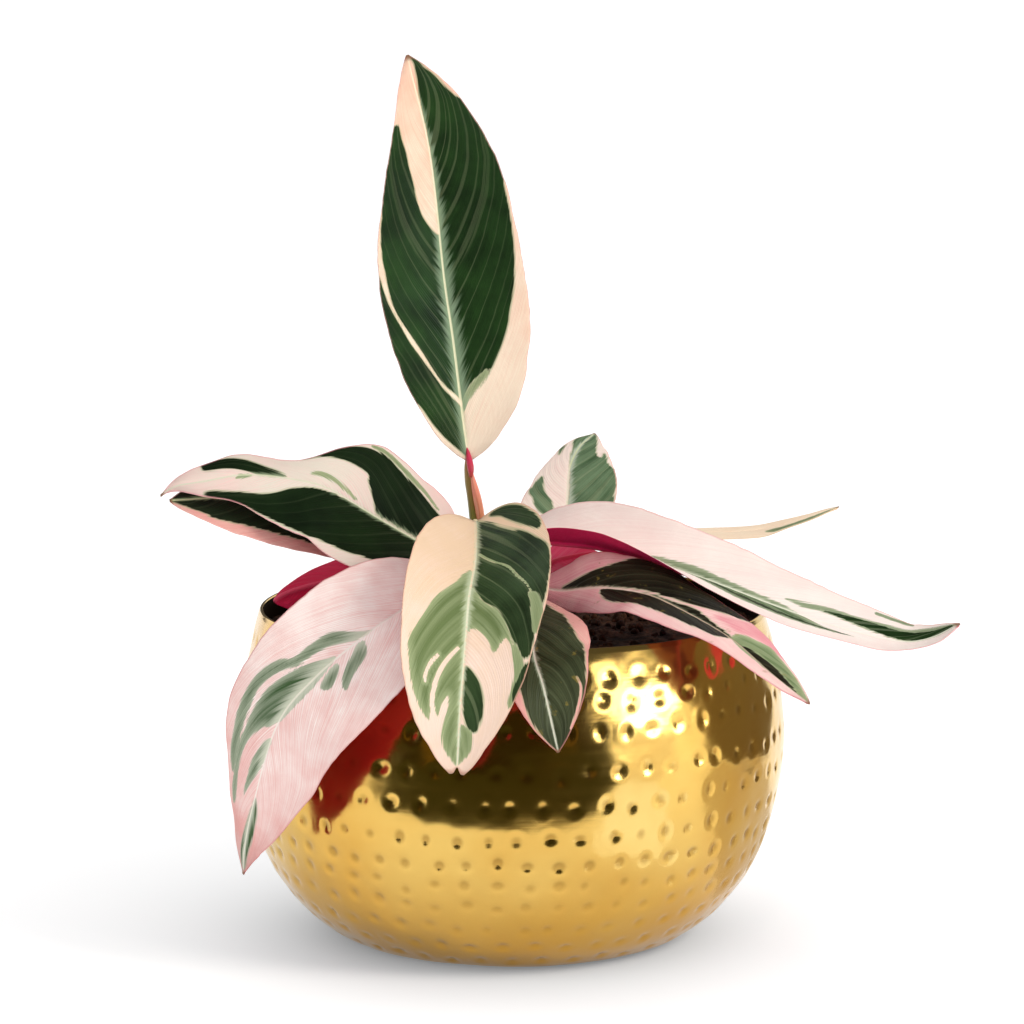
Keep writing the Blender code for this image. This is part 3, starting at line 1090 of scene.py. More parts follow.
@dataclass(frozen=True)
class Stem:
    """What a stalk and the parts that grow beside it share: a route, rings and a skin."""

    leaf: Leaf
    finish: StalkFinish
    sides: int = 20
    step: float = 1.0              # mm between rings
    start_side: tuple = (0.3, 1.0, 0.2)     # a direction that no stem starts in
    ribs: tuple = ()               # height as a share of the radius, number and turn of its ribs

    def route(self, gap: float = SEAT_GAP, tuck: float = 0.0) -> list:
        """Points of the centre line of the leaf's stalk.

        Args:
            gap: Clearance at both ends; below 0 it reaches into the crown and the blade.
            tuck: How far its top dips under the blade.

        Returns:
            The points from the crown to the blade.
        """
        out = unit(self.leaf.foot)
        foot = np.array([0, 0, CROWN_HEIGHT]) + out * (CROWN_RADIUS + gap)
        midrib, along, _, up = Blade(self.leaf).frame_at(FRAME_STATIONS)
        top = midrib[0] - along[0] * gap - up[0] * tuck
        via = [np.array(point, dtype=float) for point in self.leaf.via]
        return [foot, foot + STALK_LEAD * out, *via, top - STALK_LEAD * along[0] - up[0] * tuck, top]

    def radius(self, share: Array) -> Array:
        """Radius of the leaf's stalk at shares of its length, before its swellings."""
        return STALK_FOOT + (STALK_TOP - STALK_FOOT) * share

    def ribbed(self) -> Array:
        """Reach of each side as a share of the radius."""
        waves = [height * np.cos(count * turns(self.sides) + turn) for height, count, turn in self.ribs]
        return 1 + sum(waves)

    def rings(self, route: list | Array) -> StemRow:
        """Even rings along a route with cross directions that don't twist.

        Args:
            route: Points of the centre line.

        Returns:
            The rings.
        """
        total = length(even_curve(route, 200))
        centre = even_curve(route, int(total / self.step) + 8)
        along = unit(np.gradient(centre, axis=0))
        first = np.empty_like(centre)
        beside = unit(np.cross(along[0], self.start_side))
        for index, direction in enumerate(along):
            beside = unit(beside - direction * np.dot(direction, beside))
            first[index] = beside
        return StemRow(centre, first, np.cross(along, first), np.linspace(0, total, len(centre)))

    def skin(self, piece: Piece, row: StemRow, reach: Array) -> Object:
        """Close a skin round a stem.

        Args:
            piece: The piece to build.
            row: The stem's rings.
            reach: Distance from the centre line, a row for each ring, a value for each side.

        Returns:
            The new object.
        """
        turn = turns(self.sides)[None, :, None]
        points = row.centre[:, None] + reach[..., None] * (np.cos(turn) * row.first[:, None]
                                                           + np.sin(turn) * row.second[:, None])
        count = len(row.centre)
        faces = ring_faces(count, self.sides)
        faces += [list(range(self.sides))[::-1],
                  list(range((count - 1) * self.sides, count * self.sides))]
        half_turns = np.abs(np.arange(self.sides) / self.sides * 2 - 1)
        uv = np.stack([np.tile(half_turns, count), np.repeat(row.run, self.sides)], axis=-1)
        return piece.build(points.reshape(-1, 3), faces, uv=uv)


@dataclass(frozen=True)
class Stalk(Stem):
    """A stalk with a widened foot and the swelling that turns the blade to the light."""

    ribs: tuple = ((0.035, 5, 0.0), (0.02, 3, 2 - math.pi / 2))
    sunk: float = 1.0              # mm that its ends reach into the crown and the blade
    foot_swell: float = 0.7        # mm
    foot_reach: float = 5.0        # mm up the stalk over which the foot narrows
    joint_swell: float = 0.3       # mm
    joint_place: float = 9.0       # mm below the blade
    joint_reach: float = 4.0       # mm, also the length over which the top narrows
    top_share: float = 0.55        # of the radius, left at the very top

    def build(self) -> Object:
        """Make the stalk.

        Returns:
            The new object.
        """
        row = self.rings(self.route(-self.sunk, self.leaf.tuck))
        left = row.run[-1] - row.run
        radius = (self.radius(row.share) + self.foot_swell * np.exp(-row.run / self.foot_reach)
                  + self.joint_swell * bell(left - self.joint_place, self.joint_reach))
        radius = radius * (self.top_share + (1 - self.top_share) * ramp(left, 0, self.joint_reach))
        piece = Piece("stem_" + self.leaf.name, "stalk_" + self.leaf.name, "leaf_stalk",
                      [self.finish.material(self.leaf.name)])
        return self.skin(piece, row, radius[:, None] * self.ribbed())


@dataclass(frozen=True)
class StemSide(Stem):
    """A part that lies against a leaf's stalk and may run on past its top."""

    reach: tuple = (0.0, 1.0)      # shares of the stalk's length between which it runs
    bearing: tuple = (0.0, 0.0)    # its side of the stalk, in degrees from +X towards +Y
    room: tuple = (1.0,)           # mm from the stalk's skin to its middle, at even steps
    radii: tuple = (1.0,)          # mm, its own radius at even steps
    pressed: float = 0.6           # mm that it presses into the stalk
    stations: int = 60             # along the stalk
    beyond: int = 7                # stations that its line may run on past the stalk's top
    points: int = 24               # along the part itself

    def line(self) -> StemRow:
        """Find the part's own centre line.

        Returns:
            Rings along it.
        """
        centre = even_curve(self.route(), self.stations)
        onwards = (centre[-1] - centre[-2]) * np.arange(1, self.beyond + 1)[:, None]
        centre = np.vstack([centre, centre[-1] + onwards])
        steps = np.linspace(*self.reach, self.points)
        angle = np.radians(np.linspace(*self.bearing, self.points))
        away = (self.radius(np.minimum(steps, 1)) - self.pressed
                + along_piece(self.room, np.linspace(0, 1, self.points)))
        place = steps * (self.stations - 1)
        line = np.stack([np.interp(place, np.arange(len(centre)), centre[:, axis])
                         for axis in range(3)], axis=-1)
        line[:, :2] += away[:, None] * np.stack([np.cos(angle), np.sin(angle)], axis=-1)
        return self.rings(line)


@dataclass(frozen=True)
class Sheath(StemSide):
    """The papery leaf sheath round one side of the upright leaf's stalk."""

    sides: int = 28
    ribs: tuple = ((0.16, 2, 1.1), (0.08, 7, 0.0))
    reach: tuple = (0.36, 0.93)
    bearing: tuple = (5, -70)
    room: tuple = (1.0, 1.4, 1.5, 0.6)
    radii: tuple = (0.9, 1.3, 1.5, 1.3, 0.4)

    def build(self) -> Object:
        """Make the sheath, broader one way than the other and lightly pleated.

        Returns:
            The new object.
        """
        piece = Piece("papery_sheath", "sheath_upright", "leaf_sheath", [self.finish.material("sheath")])
        row = self.line()
        return self.skin(piece, row, along_piece(self.radii, row.share)[:, None] * self.ribbed())


@dataclass(frozen=True)
class Shoot(StemSide):
    """The young leaf, still rolled up: its free edge is a step that winds round the roll."""

    sides: int = 32
    reach: tuple = (0.89, 1.10)
    bearing: tuple = (-86, -76)
    room: tuple = (0.8, 1.1, 0.9, 0.3)
    radii: tuple = (0.7, 1.2, 1.15, 0.8, 0.2)
    winds: float = 0.5             # turns that the free edge makes on its way up
    free_edge: float = 0.3         # height of the step as a share of the radius

    def build(self) -> Object:
        """Make the rolled leaf.

        Returns:
            The new object.
        """
        row = self.line()
        layer = (np.arange(self.sides) / self.sides + self.winds * row.share[:, None]) % 1.0
        piece = Piece("rolled_leaf", "shoot_upright", "furled_leaf", [self.finish.material("rolled")])
        reach = 1 - self.free_edge / 2 + self.free_edge * layer
        return self.skin(piece, row, along_piece(self.radii, row.share)[:, None] * reach)


# -------- crown and soil

@dataclass(frozen=True)
class EarthFinish:
    """Crumbled peat compost, or rhizome bark that has died back into scales.

    Both are matt and fibrous, with pale fibres over dark crumbs.
    """

    dark: str = "#1C120D"
    light: str = "#573C2A"
    grain: float = 1.1111      # mm
    roughness: float = 0.95
    patch_ratio: float = 6.0   # how much wider its light and dark patches are than its grains

    def material(self, name: str) -> bpy.types.Material:
        """The material, without any gloss.

        Args:
            name: The material's name.

        Returns:
            The material.
        """
        earth = Surface(name, Roughness=self.roughness, IOR=1.4, Specular_IOR_Level=0.25)
        add = earth.add
        spot = add("TexCoord", {}, "Object")
        fine = add("TexNoise", {"Vector": spot, "Scale": per_metre(self.grain), "Detail": 4.0,
                                "Roughness": 0.65})
        wide = add("TexNoise", {"Vector": spot, "Scale": per_metre(self.grain * self.patch_ratio),
                                "Detail": 2.0})
        both = add("Math", [fine, wide], operation="MULTIPLY")
        colour = earth.layered(self.dark, (add("MapRange", [both, 0.16, 0.42]), self.light))
        return earth.finish(colour, fine, 0.8, 0.6)


@dataclass(frozen=True)
class Crown:
    """The clump of rhizome and old sheath bases that every stalk grows from."""

    leaves: list
    finish: EarthFinish
    ridges: int = 5
    ridge_rise: float = 0.55       # mm
    rough: tuple = ((1.0, 3.2), (0.5, 1.1))     # share and grain in mm of its unevenness
    collar_angle: float = 10.5     # degrees round a stalk's foot at which its collar is highest
    collar_width: float = 2.2      # degrees
    highest: float = 0.9           # mm that its scales and collars stand out at most
    rings: int = 44
    sides: int = 120

    def build(self) -> Object:
        """Make the scaly dome with a collar round each stalk's foot.

        Returns:
            The new object.
        """
        slope = np.linspace(0, math.pi / 2, self.rings)[:, None]
        turn = turns(self.sides)
        out = turned(np.cos(slope), np.sin(slope), turn)
        rough = sum(share * lumps(out * CROWN_RADIUS, grain, seed)
                    for seed, (share, grain) in enumerate(self.rough, 5))
        scale = self.ridges * slope / (math.pi / 2) + 0.5 * rough
        rise = self.ridge_rise * (1 - scale % 1.0) + 0.3 * rough - 0.4
        for leaf in self.leaves:
            apart = np.degrees(np.arccos(np.clip(out @ unit(leaf.foot), -1, 1)))
            rise = rise + self.highest * bell(apart - self.collar_angle, self.collar_width)
        dome = out * (CROWN_RADIUS + np.minimum(rise, self.highest))[..., None] + [0, 0, CROWN_HEIGHT]
        bottom = CROWN_HEIGHT - CROWN_SINK
        neck = turned_line([(2.0, bottom), (14.4, bottom), (15.6, CROWN_HEIGHT - 2)], turn)
        rings = np.concatenate([neck, dome])
        faces = [*ring_faces(len(rings), self.sides), list(range(self.sides))[::-1]]
        piece = Piece("rhizome_clump", "crown", "rhizome", [self.finish.material("scaly_rhizome_bark")])
        return piece.build(rings.reshape(-1, 3), faces)


@dataclass(frozen=True)
class BowlProfile:
    """The turned section of the bowl, read by both the bowl and the soil inside it."""

    outline: list
    wall: float
    inner_points: int = 60

    @property
    def span(self) -> float:
        """Length of the outer outline."""
        return length(self.outer(300))

    def outer(self, count: int) -> Array:
        """Even points (radius, height) from the base's edge to the rim."""
        return even_curve(self.outline, count)

    def inside(self, gap: float = 0.0) -> Array:
        """The inner side of the wall, or a line further in.

        Args:
            gap: How much further in.

        Returns:
            Even points (radius, height) from the base to the rim.
        """
        line = self.outer(self.inner_points)
        along = unit(np.gradient(line, axis=0))
        return line + (self.wall + gap) * np.stack([-along[:, 1], along[:, 0]], axis=-1)


@dataclass(frozen=True)
class Soil:
    """Potting compost: a lumpy top with loose crumbs, on a plug that fills the bowl."""

    profile: BowlProfile
    finish: EarthFinish
    rings: int = 100
    sides: int = 300
    rough: tuple = ((1.3, 9.0), (0.9, 3.4), (0.7, 1.7))   # height and grain of its lumps in mm
    sunk: float = 0.4                  # mm that the hollows between the lumps are lower
    fading: tuple = (0.8, 0.5, 0.2)    # how much of them is left in the last rings by the bowl
    crumbs: int = 420
    crumb_sizes: tuple = (0.6, 2.1)    # mm
    crumb_squash: tuple = (0.7, 1.2)
    crumb_gap: float = 3.0             # mm that their middles keep from the crown and the bowl
    crumb_lift: tuple = (0.35, 0.3)    # share of its size, and mm, that one lies over the top
    crumb_rough: float = 0.32          # how much its own lumps change its radius
    crumb_corners: int = 7             # corners round a crumb
    crumb_rings: int = 4
    seed: int = 11

    @property
    def edge(self) -> float:
        """Radius at which the top meets the bowl, less the clearance."""
        side = self.profile.inside(SEAT_GAP)
        return float(np.interp(SOIL_EDGE, side[:, 1], side[:, 0]))

    def top_height(self, radius: Array | float) -> Array:
        """Height of the even top before the lumps."""
        edge = self.edge
        return np.interp(radius, [CROWN_RADIUS, 0.45 * edge, 0.75 * edge, edge],
                         [SOIL_MIDDLE, SOIL_MIDDLE - 0.4, SOIL_EDGE + 0.8, SOIL_EDGE])

    def top(self) -> Array:
        """Make the lumpy top, from under the crown out to the bowl.

        Returns:
            A row of corners for each ring.
        """
        turn = turns(self.sides)
        radius = np.linspace(CROWN_RADIUS - 2, self.edge, self.rings)[:, None]
        flat = turned(radius, 0 * radius, turn)
        broad, *fine = (height * lumps(flat, grain, seed)
                        for seed, (height, grain) in enumerate(self.rough, 1))
        height = broad + sum(np.abs(lump) for lump in fine) - self.sunk
        height[-len(self.fading):] *= np.array(self.fading)[:, None]
        return turned(radius, self.top_height(radius) + height, turn)

    def plug(self) -> Array:
        """Make the side and the bottom, which nobody sees.

        Returns:
            A row of corners for each ring.
        """
        side = self.profile.inside(SEAT_GAP)
        side = side[(side[:, 1] < SOIL_EDGE - 1) & (side[:, 1] > 3)][::-4]
        return turned_line([*side, (10.0, 1.6)], turns(self.sides))

    def crumb(self) -> tuple:
        """A small round lump of size 1.

        Returns:
            Its points and faces.
        """
        around, count = self.crumb_corners, self.crumb_corners * self.crumb_rings
        slope = np.linspace(-math.pi / 2, math.pi / 2, self.crumb_rings + 2)[1:-1, None]
        rings = turned(np.cos(slope), np.sin(slope), turns(around)).reshape(-1, 3)
        faces = ring_faces(self.crumb_rings, around)
        faces += [[count, (index + 1) % around, index] for index in range(around)]
        last = count - around
        faces += [[count + 1, last + index, last + (index + 1) % around] for index in range(around)]
        return np.vstack([rings, (0, 0, -1), (0, 0, 1)]), faces

    def build(self) -> Object:
        """Make the soil in one mesh.

        Returns:
            The new object.
        """
        edge, gap, (share, lift) = self.edge, self.crumb_gap, self.crumb_lift
        rings = np.concatenate([self.top(), self.plug()])
        points, faces = [rings.reshape(-1, 3)], ring_faces(len(rings), self.sides)
        total = len(points[0])
        faces.append(list(range(total - self.sides, total))[::-1])
        rng = np.random.default_rng(self.seed)
        ball, ball_faces = self.crumb()
        for _ in range(self.crumbs):
            reach = math.sqrt(rng.uniform((CROWN_RADIUS + gap) ** 2, (edge - gap) ** 2))
            angle, size = rng.uniform(0, TURN), rng.uniform(*self.crumb_sizes)
            where = (reach * math.cos(angle), reach * math.sin(angle),
                     self.top_height(reach) + size * share + lift)
            rough = self.crumb_rough * lumps(ball * 10, 8.0, int(rng.integers(9999)))
            shape = ball * (1 + rough)[:, None]
            points.append(shape * rng.uniform(*self.crumb_squash, 3) * size + where)
            faces += [[corner + total for corner in face] for face in ball_faces]
            total += len(ball)
        piece = Piece("compost", "soil", "potting_soil", [self.finish.material("crumbly_peat_compost")])
        return piece.build(np.concatenate(points), faces)


# -------- bowl

@dataclass(frozen=True)
class BrassFinish:
    """Brass plate, spun on a lathe, hammered by hand and polished under a thin lacquer.

    The polish mirrors the room in the dents. The lathe's fine lines and the handling make the
    gloss uneven, and the gold is darkened in the dents as painted shade.
    """

    gold: str = "#E2BC66"
    warm: str = "#CC9230"
    # Painted shade: the colour laid into the dents.
    dent_shade: str = "#8A6226"
    line_gap: float = 0.9      # mm between the lathe's fine lines; drawn coarser than real
    line_length: float = 166.67    # mm round the bowl over which a line changes
    clouds: float = 45.45      # mm, size of the handling marks
    roughness: float = 0.155
    gloss_change: float = 0.08     # how much the roughness varies
    dent_shade_rise: tuple = (28.0, 50.0)  # mm up the bowl between which the painted shade in the dents gets darker
    foot_shade: tuple = (2.0, 44.0)  # mm up the bowl between which the painted shade at its foot fades

    def material(self, name: str) -> bpy.types.Material:
        """Brass, with painted shade that darkens its dents and darkens and warms it towards its foot.

        Args:
            name: The material's name.

        Returns:
            The material.
        """
        brass = Surface(name, Metallic=1.0)
        add = brass.add
        spot = add("TexCoord", {}, "Object")
        parts = add("SeparateXYZ", [spot]).node.outputs
        stretch = (self.line_length, self.line_length, self.line_gap)
        lathe = add("CombineXYZ", [add("Math", [part, per_metre(grain)], operation="MULTIPLY")
                                   for part, grain in zip(parts, stretch)])
        spun = add("TexNoise", {"Vector": lathe, "Scale": 1.0, "Detail": 3.0})
        cloud = add("TexNoise", {"Vector": spot, "Scale": per_metre(self.clouds), "Detail": 4.0})
        # Painted shade in the dents, darker higher up the bowl.
        most = add("MapRange", [parts[2], *(end * MM for end in self.dent_shade_rise), 0.25, 0.5])
        hollow = add("MapRange", [brass.field("dent")[0], 0.12, 0.5, 0.0, most])
        # Painted shade: the gold turns darker and warmer towards the foot.
        foot = add("MapRange", [parts[2], *(end * MM for end in self.foot_shade), 0.85, 0.0])
        colour = brass.layered(self.gold, (add("MapRange", [cloud, 0.42, 0.75, 0.0, 0.5]), self.warm),
                               (hollow, self.dent_shade), (foot, self.warm))
        worn = add("Math", [spun, cloud], operation="ADD")
        worn = add("Math", [worn, self.gloss_change, self.roughness - self.gloss_change],
                   operation="MULTIPLY_ADD")
        return brass.finish(colour, spun, 0.12, 0.1, worn)


@dataclass(frozen=True)
class HammeredBowl:
    """The open bowl: spun wall with rows of hammer dents, rolled rim and flat base."""

    profile: BowlProfile
    finish: BrassFinish
    inner_finish: BrassFinish
    columns: int = 600
    rows: int = 134
    # Outline length from the base's edge to each row of dents: struck by eye, so not quite even.
    row_places: tuple = (13.5, 24, 34.8, 45.1, 54.2, 62.8, 72.9, 85.1, 97.2, 111.2, 121.2, 129.9)
    dent_gap: float = 10.8         # mm between dents of a row
    dent_radius: tuple = (2.4, 3.0)
    dent_depth: tuple = (0.4, 0.65)
    row_depths: tuple = ((0, 3, 5, 8), (1.15, 1.15, 1.5, 0.8))   # rows, and how deep they are struck
    stray: float = 0.7             # mm that a dent lies off its row
    stray_share: float = 0.07      # share of the gap that it lies off its place in the row
    squash: tuple = (0.88, 1.15)   # how much longer than wide a dent is
    reach: float = 2.2             # radii from its middle that a dent still changes the wall
    cup: float = 1 / 1.4           # radii over which a dent's cup rises
    lip: tuple = (0.04, 1.5, 0.3)  # rise round a dent in mm, its place and its reach in radii
    swells: tuple = ((0.40, 15.0, 3), (0.15, 7.0, 8))   # mm, their grain in mm, and a seed
    base_fade: float = 10.0        # mm above the base over which the dents begin
    rim_fade: float = 5.0          # mm below the rim over which they end
    # Rings of the rolled rim: how far in and down from its top outer edge they lie, in mm.
    rim: tuple = ((0.05, 0.25), (0.35, 0), (0.8, 0), (1.1, 0.25), (1.17, 0.8), (1.0, 3.0))
    wall_end: float = 0.7          # mm down from the rim's top at which the outer wall ends
    seed: int = 4

    def dents(self, run: Array, radius: Array) -> Array:
        """How far each corner of the outer wall is hammered in.

        Args:
            run: Distance along the outline of each row.
            radius: Radius of each row.

        Returns:
            Depth in mm, a row for each row of corners.
        """
        rng = np.random.default_rng(self.seed)
        lip_rise, lip_place, lip_reach = self.lip
        depth = np.zeros((len(run), self.columns))
        turn = turns(self.columns)
        for index, middle in enumerate(self.row_places):
            round_count = int(TURN * np.interp(middle, run, radius) / self.dent_gap)
            for dent in range(round_count):
                place = middle + rng.normal(0, self.stray)
                angle = TURN * (dent + index % 2 / 2 + rng.normal(0, self.stray_share)) / round_count
                size, deep = rng.uniform(*self.dent_radius), rng.uniform(*self.dent_depth)
                deep *= np.interp(index, *self.row_depths)
                near = np.abs(run - place) < size * self.reach
                apart = (turn - angle + math.pi) % TURN - math.pi
                squash = rng.uniform(*self.squash)
                gap = np.hypot((run[near] - place)[:, None] / squash,
                               apart[None] * radius[near][:, None] * squash) / size
                depth[near] += deep * bell(gap, self.cup) - lip_rise * bell(gap - lip_place, lip_reach)
        return depth

    def build(self) -> Object:
        """Make the bowl in one closed mesh.

        Returns:
            The new object.
        """
        turn, top = turns(self.columns), np.array(self.profile.outline[-1])
        outer = self.profile.outer(self.rows)
        outer[-1, 1] = top[1] - self.wall_end
        run = np.linspace(0, self.profile.span, self.rows)
        along = unit(np.gradient(outer, axis=0))
        ground = turned_line(outer, turn)
        swell = sum(height * lumps(ground, grain, seed) for height, grain, seed in self.swells)
        dents = self.dents(run, outer[:, 0])
        fade = np.minimum(ramp(run, 0, self.base_fade), ramp(run[-1] - run, 0, self.rim_fade))
        depth = (dents + swell) * fade[:, None]
        wall = turned(outer[:, :1] - depth * along[:, 1:], outer[:, 1:] + depth * along[:, :1], turn)

        inner = self.profile.inside()
        inner[0] = (self.profile.outline[0][0] - 0.5, self.profile.wall)
        inside = turned_line([*(top - self.rim), *inner[-9:1:-5], inner[0]], turn)
        rings = np.concatenate([wall, inside])
        points = rings.reshape(-1, 3)
        faces = ring_faces(len(rings), self.columns)
        outside = (self.rows + len(self.rim) - 2) * self.columns
        wears = [0] * outside + [1] * (len(faces) - outside) + [0, 1]
        faces.append(list(range(self.columns))[::-1])
        faces.append(list(range(len(points) - self.columns, len(points))))
        # The inside wears the dark brass finish: painted shade of the inner wall.
        piece = Piece("hammered_wall", "bowl", "hammered_brass",
                      [self.finish.material("hammered_brass_lacquered"),
                       self.inner_finish.material("brass_inside_painted_shade")])
        marks = np.zeros((len(points), 3))
        marks[:dents.size, 0] = dents.ravel()
        return piece.build(points, faces, wears, fields={"dent": marks})


# -------- studio

@dataclass(frozen=True)
class Card:
    """A flat panel of the studio that shows in the brass only, or also lights the scene."""

    name: str
    azimuth: float = 0.0        # degrees from the front towards +X
    elevation: float = 0.0
    distance: float = 0.0
    width: float = 0.0
    height: float = 0.0
    colour: str = "#FFFFFF"
    strength: float = 1.0
    lights: bool = False
    mirrored: bool = True
    corners: tuple = ()         # corners (x, y) of a panel that lies on the floor instead


@dataclass(frozen=True)
class Studio:
    """Pale floor, soft light and the panels that the polished bowl mirrors."""

    cards: list
    floor_colour: str = "#FFFFFF"
    floor_size: float = 60.0
    floor_glow: float = 0.21
    sky: float = 0.89
    sky_mirrored: float = 0.10
    card_height: float = 0.08      # m, the height that the panels face
    card_lift: float = 0.001       # m that a panel lies over the floor
    camera_distance: float = 1.5
    camera_elevation: float = 8.4
    camera_lens: float = 142.9
    target_height: float = 0.157

    def glow(self, name: str, colour: str, strength: float) -> bpy.types.Material:
        """A material that only shines evenly, as a lit paper screen does.

        Args:
            name: The material's name.
            colour: Its colour.
            strength: How bright it is.

        Returns:
            The material.
        """
        material = bpy.data.materials.new(name)
        material.use_nodes = True
        tree = material.node_tree
        tree.nodes.remove(tree.nodes["Principled BSDF"])
        shine = add_node(tree, "Emission", {"Color": colour, "Strength": strength})
        tree.links.new(shine, tree.nodes["Material Output"].inputs["Surface"])
        return material

    def sheet(self, name: str, corners: list, material: bpy.types.Material) -> Object:
        """A flat sheet.

        Args:
            name: Its name.
            corners: Its corners (x, y) in m.
            material: What it wears.

        Returns:
            The new object.
        """
        mesh = bpy.data.meshes.new(name)
        mesh.from_pydata([(x, y, 0) for x, y in corners], [], [range(len(corners))])
        mesh.materials.append(material)
        return in_scene(name, mesh)

    def panel(self, card: Card) -> Object:
        """Hang one panel facing the plant, or lay it on the floor.

        Args:
            card: The panel.

        Returns:
            The new object.
        """
        azimuth, elevation = math.radians(card.azimuth), math.radians(card.elevation)
        out = Vector((math.sin(azimuth) * math.cos(elevation), -math.cos(azimuth) * math.cos(elevation),
                      math.sin(elevation)))
        upright = [(x * card.width / 2, y * card.height / 2) for x, y in SQUARE]
        panel = self.sheet(card.name, card.corners or upright,
                           self.glow("studio_panel_" + card.name, card.colour, card.strength))
        panel.rotation_mode = "QUATERNION"
        if card.corners:
            panel.location = (0, 0, self.card_lift)
        else:
            panel.location = out * card.distance + Vector((0, 0, self.card_height))
            panel.rotation_quaternion = out.to_track_quat("Z", "Y")
        panel.visible_camera = panel.visible_shadow = panel.visible_transmission = False
        panel.visible_diffuse = card.lights
        panel.visible_glossy = card.mirrored
        return panel

    def build(self) -> None:
        """Make the floor, the panels, the sky and the camera."""
        paint = Surface("pale_painted_floor", Roughness=0.9, Specular_IOR_Level=0.1,
                        Base_Color=self.floor_colour, Emission_Color=self.floor_colour,
                        Emission_Strength=self.floor_glow)
        half = self.floor_size / 2
        floor = self.sheet("floor", [(x * half, y * half) for x, y in SQUARE], paint.material)
        [self.panel(card) for card in self.cards]
        self.light_sky()
        self.place_camera()

    def light_sky(self) -> None:
        """Soft white light from all round, pure white behind the plant."""
        world = bpy.data.worlds.new("studio")
        world.use_nodes = True
        bpy.context.scene.world = world
        tree = world.node_tree
        path = add_node(tree, "LightPath", {}).node.outputs
        strength = add_node(tree, "Mix", {0: path["Is Glossy Ray"], 2: self.sky, 3: self.sky_mirrored})
        strength = add_node(tree, "Mix", {0: path["Is Camera Ray"], 2: strength, 3: 1.0})
        background = tree.nodes["Background"]
        tree.links.new(strength, background.inputs["Strength"])
        background.inputs["Color"].default_value = (1, 1, 1, 1)

    def place_camera(self) -> None:
        """Look at the plant from the front, a little from above."""
        data = bpy.data.cameras.new("camera")
        data.lens = self.camera_lens
        data.clip_end = 100.0
        camera = in_scene("camera", data)
        tilt = math.radians(self.camera_elevation)
        back = Vector((0, -math.cos(tilt), math.sin(tilt)))
        camera.location = Vector((0, 0, self.target_height)) + back * self.camera_distance
        camera.rotation_mode = "QUATERNION"
        camera.rotation_quaternion = (-back).to_track_quat("-Z", "Y")
        scene = bpy.context.scene
        scene.camera = camera
        # Colours come out as they are, and the brass throws no stray spots of light.
        scene.view_settings.view_transform = "Standard"
        scene.cycles.caustics_reflective = False


# -------- the plant

CREAM, MILKY, DEEP, PINK = Tissue.CREAM, Tissue.MILKY, Tissue.DEEP, Tissue.PINK

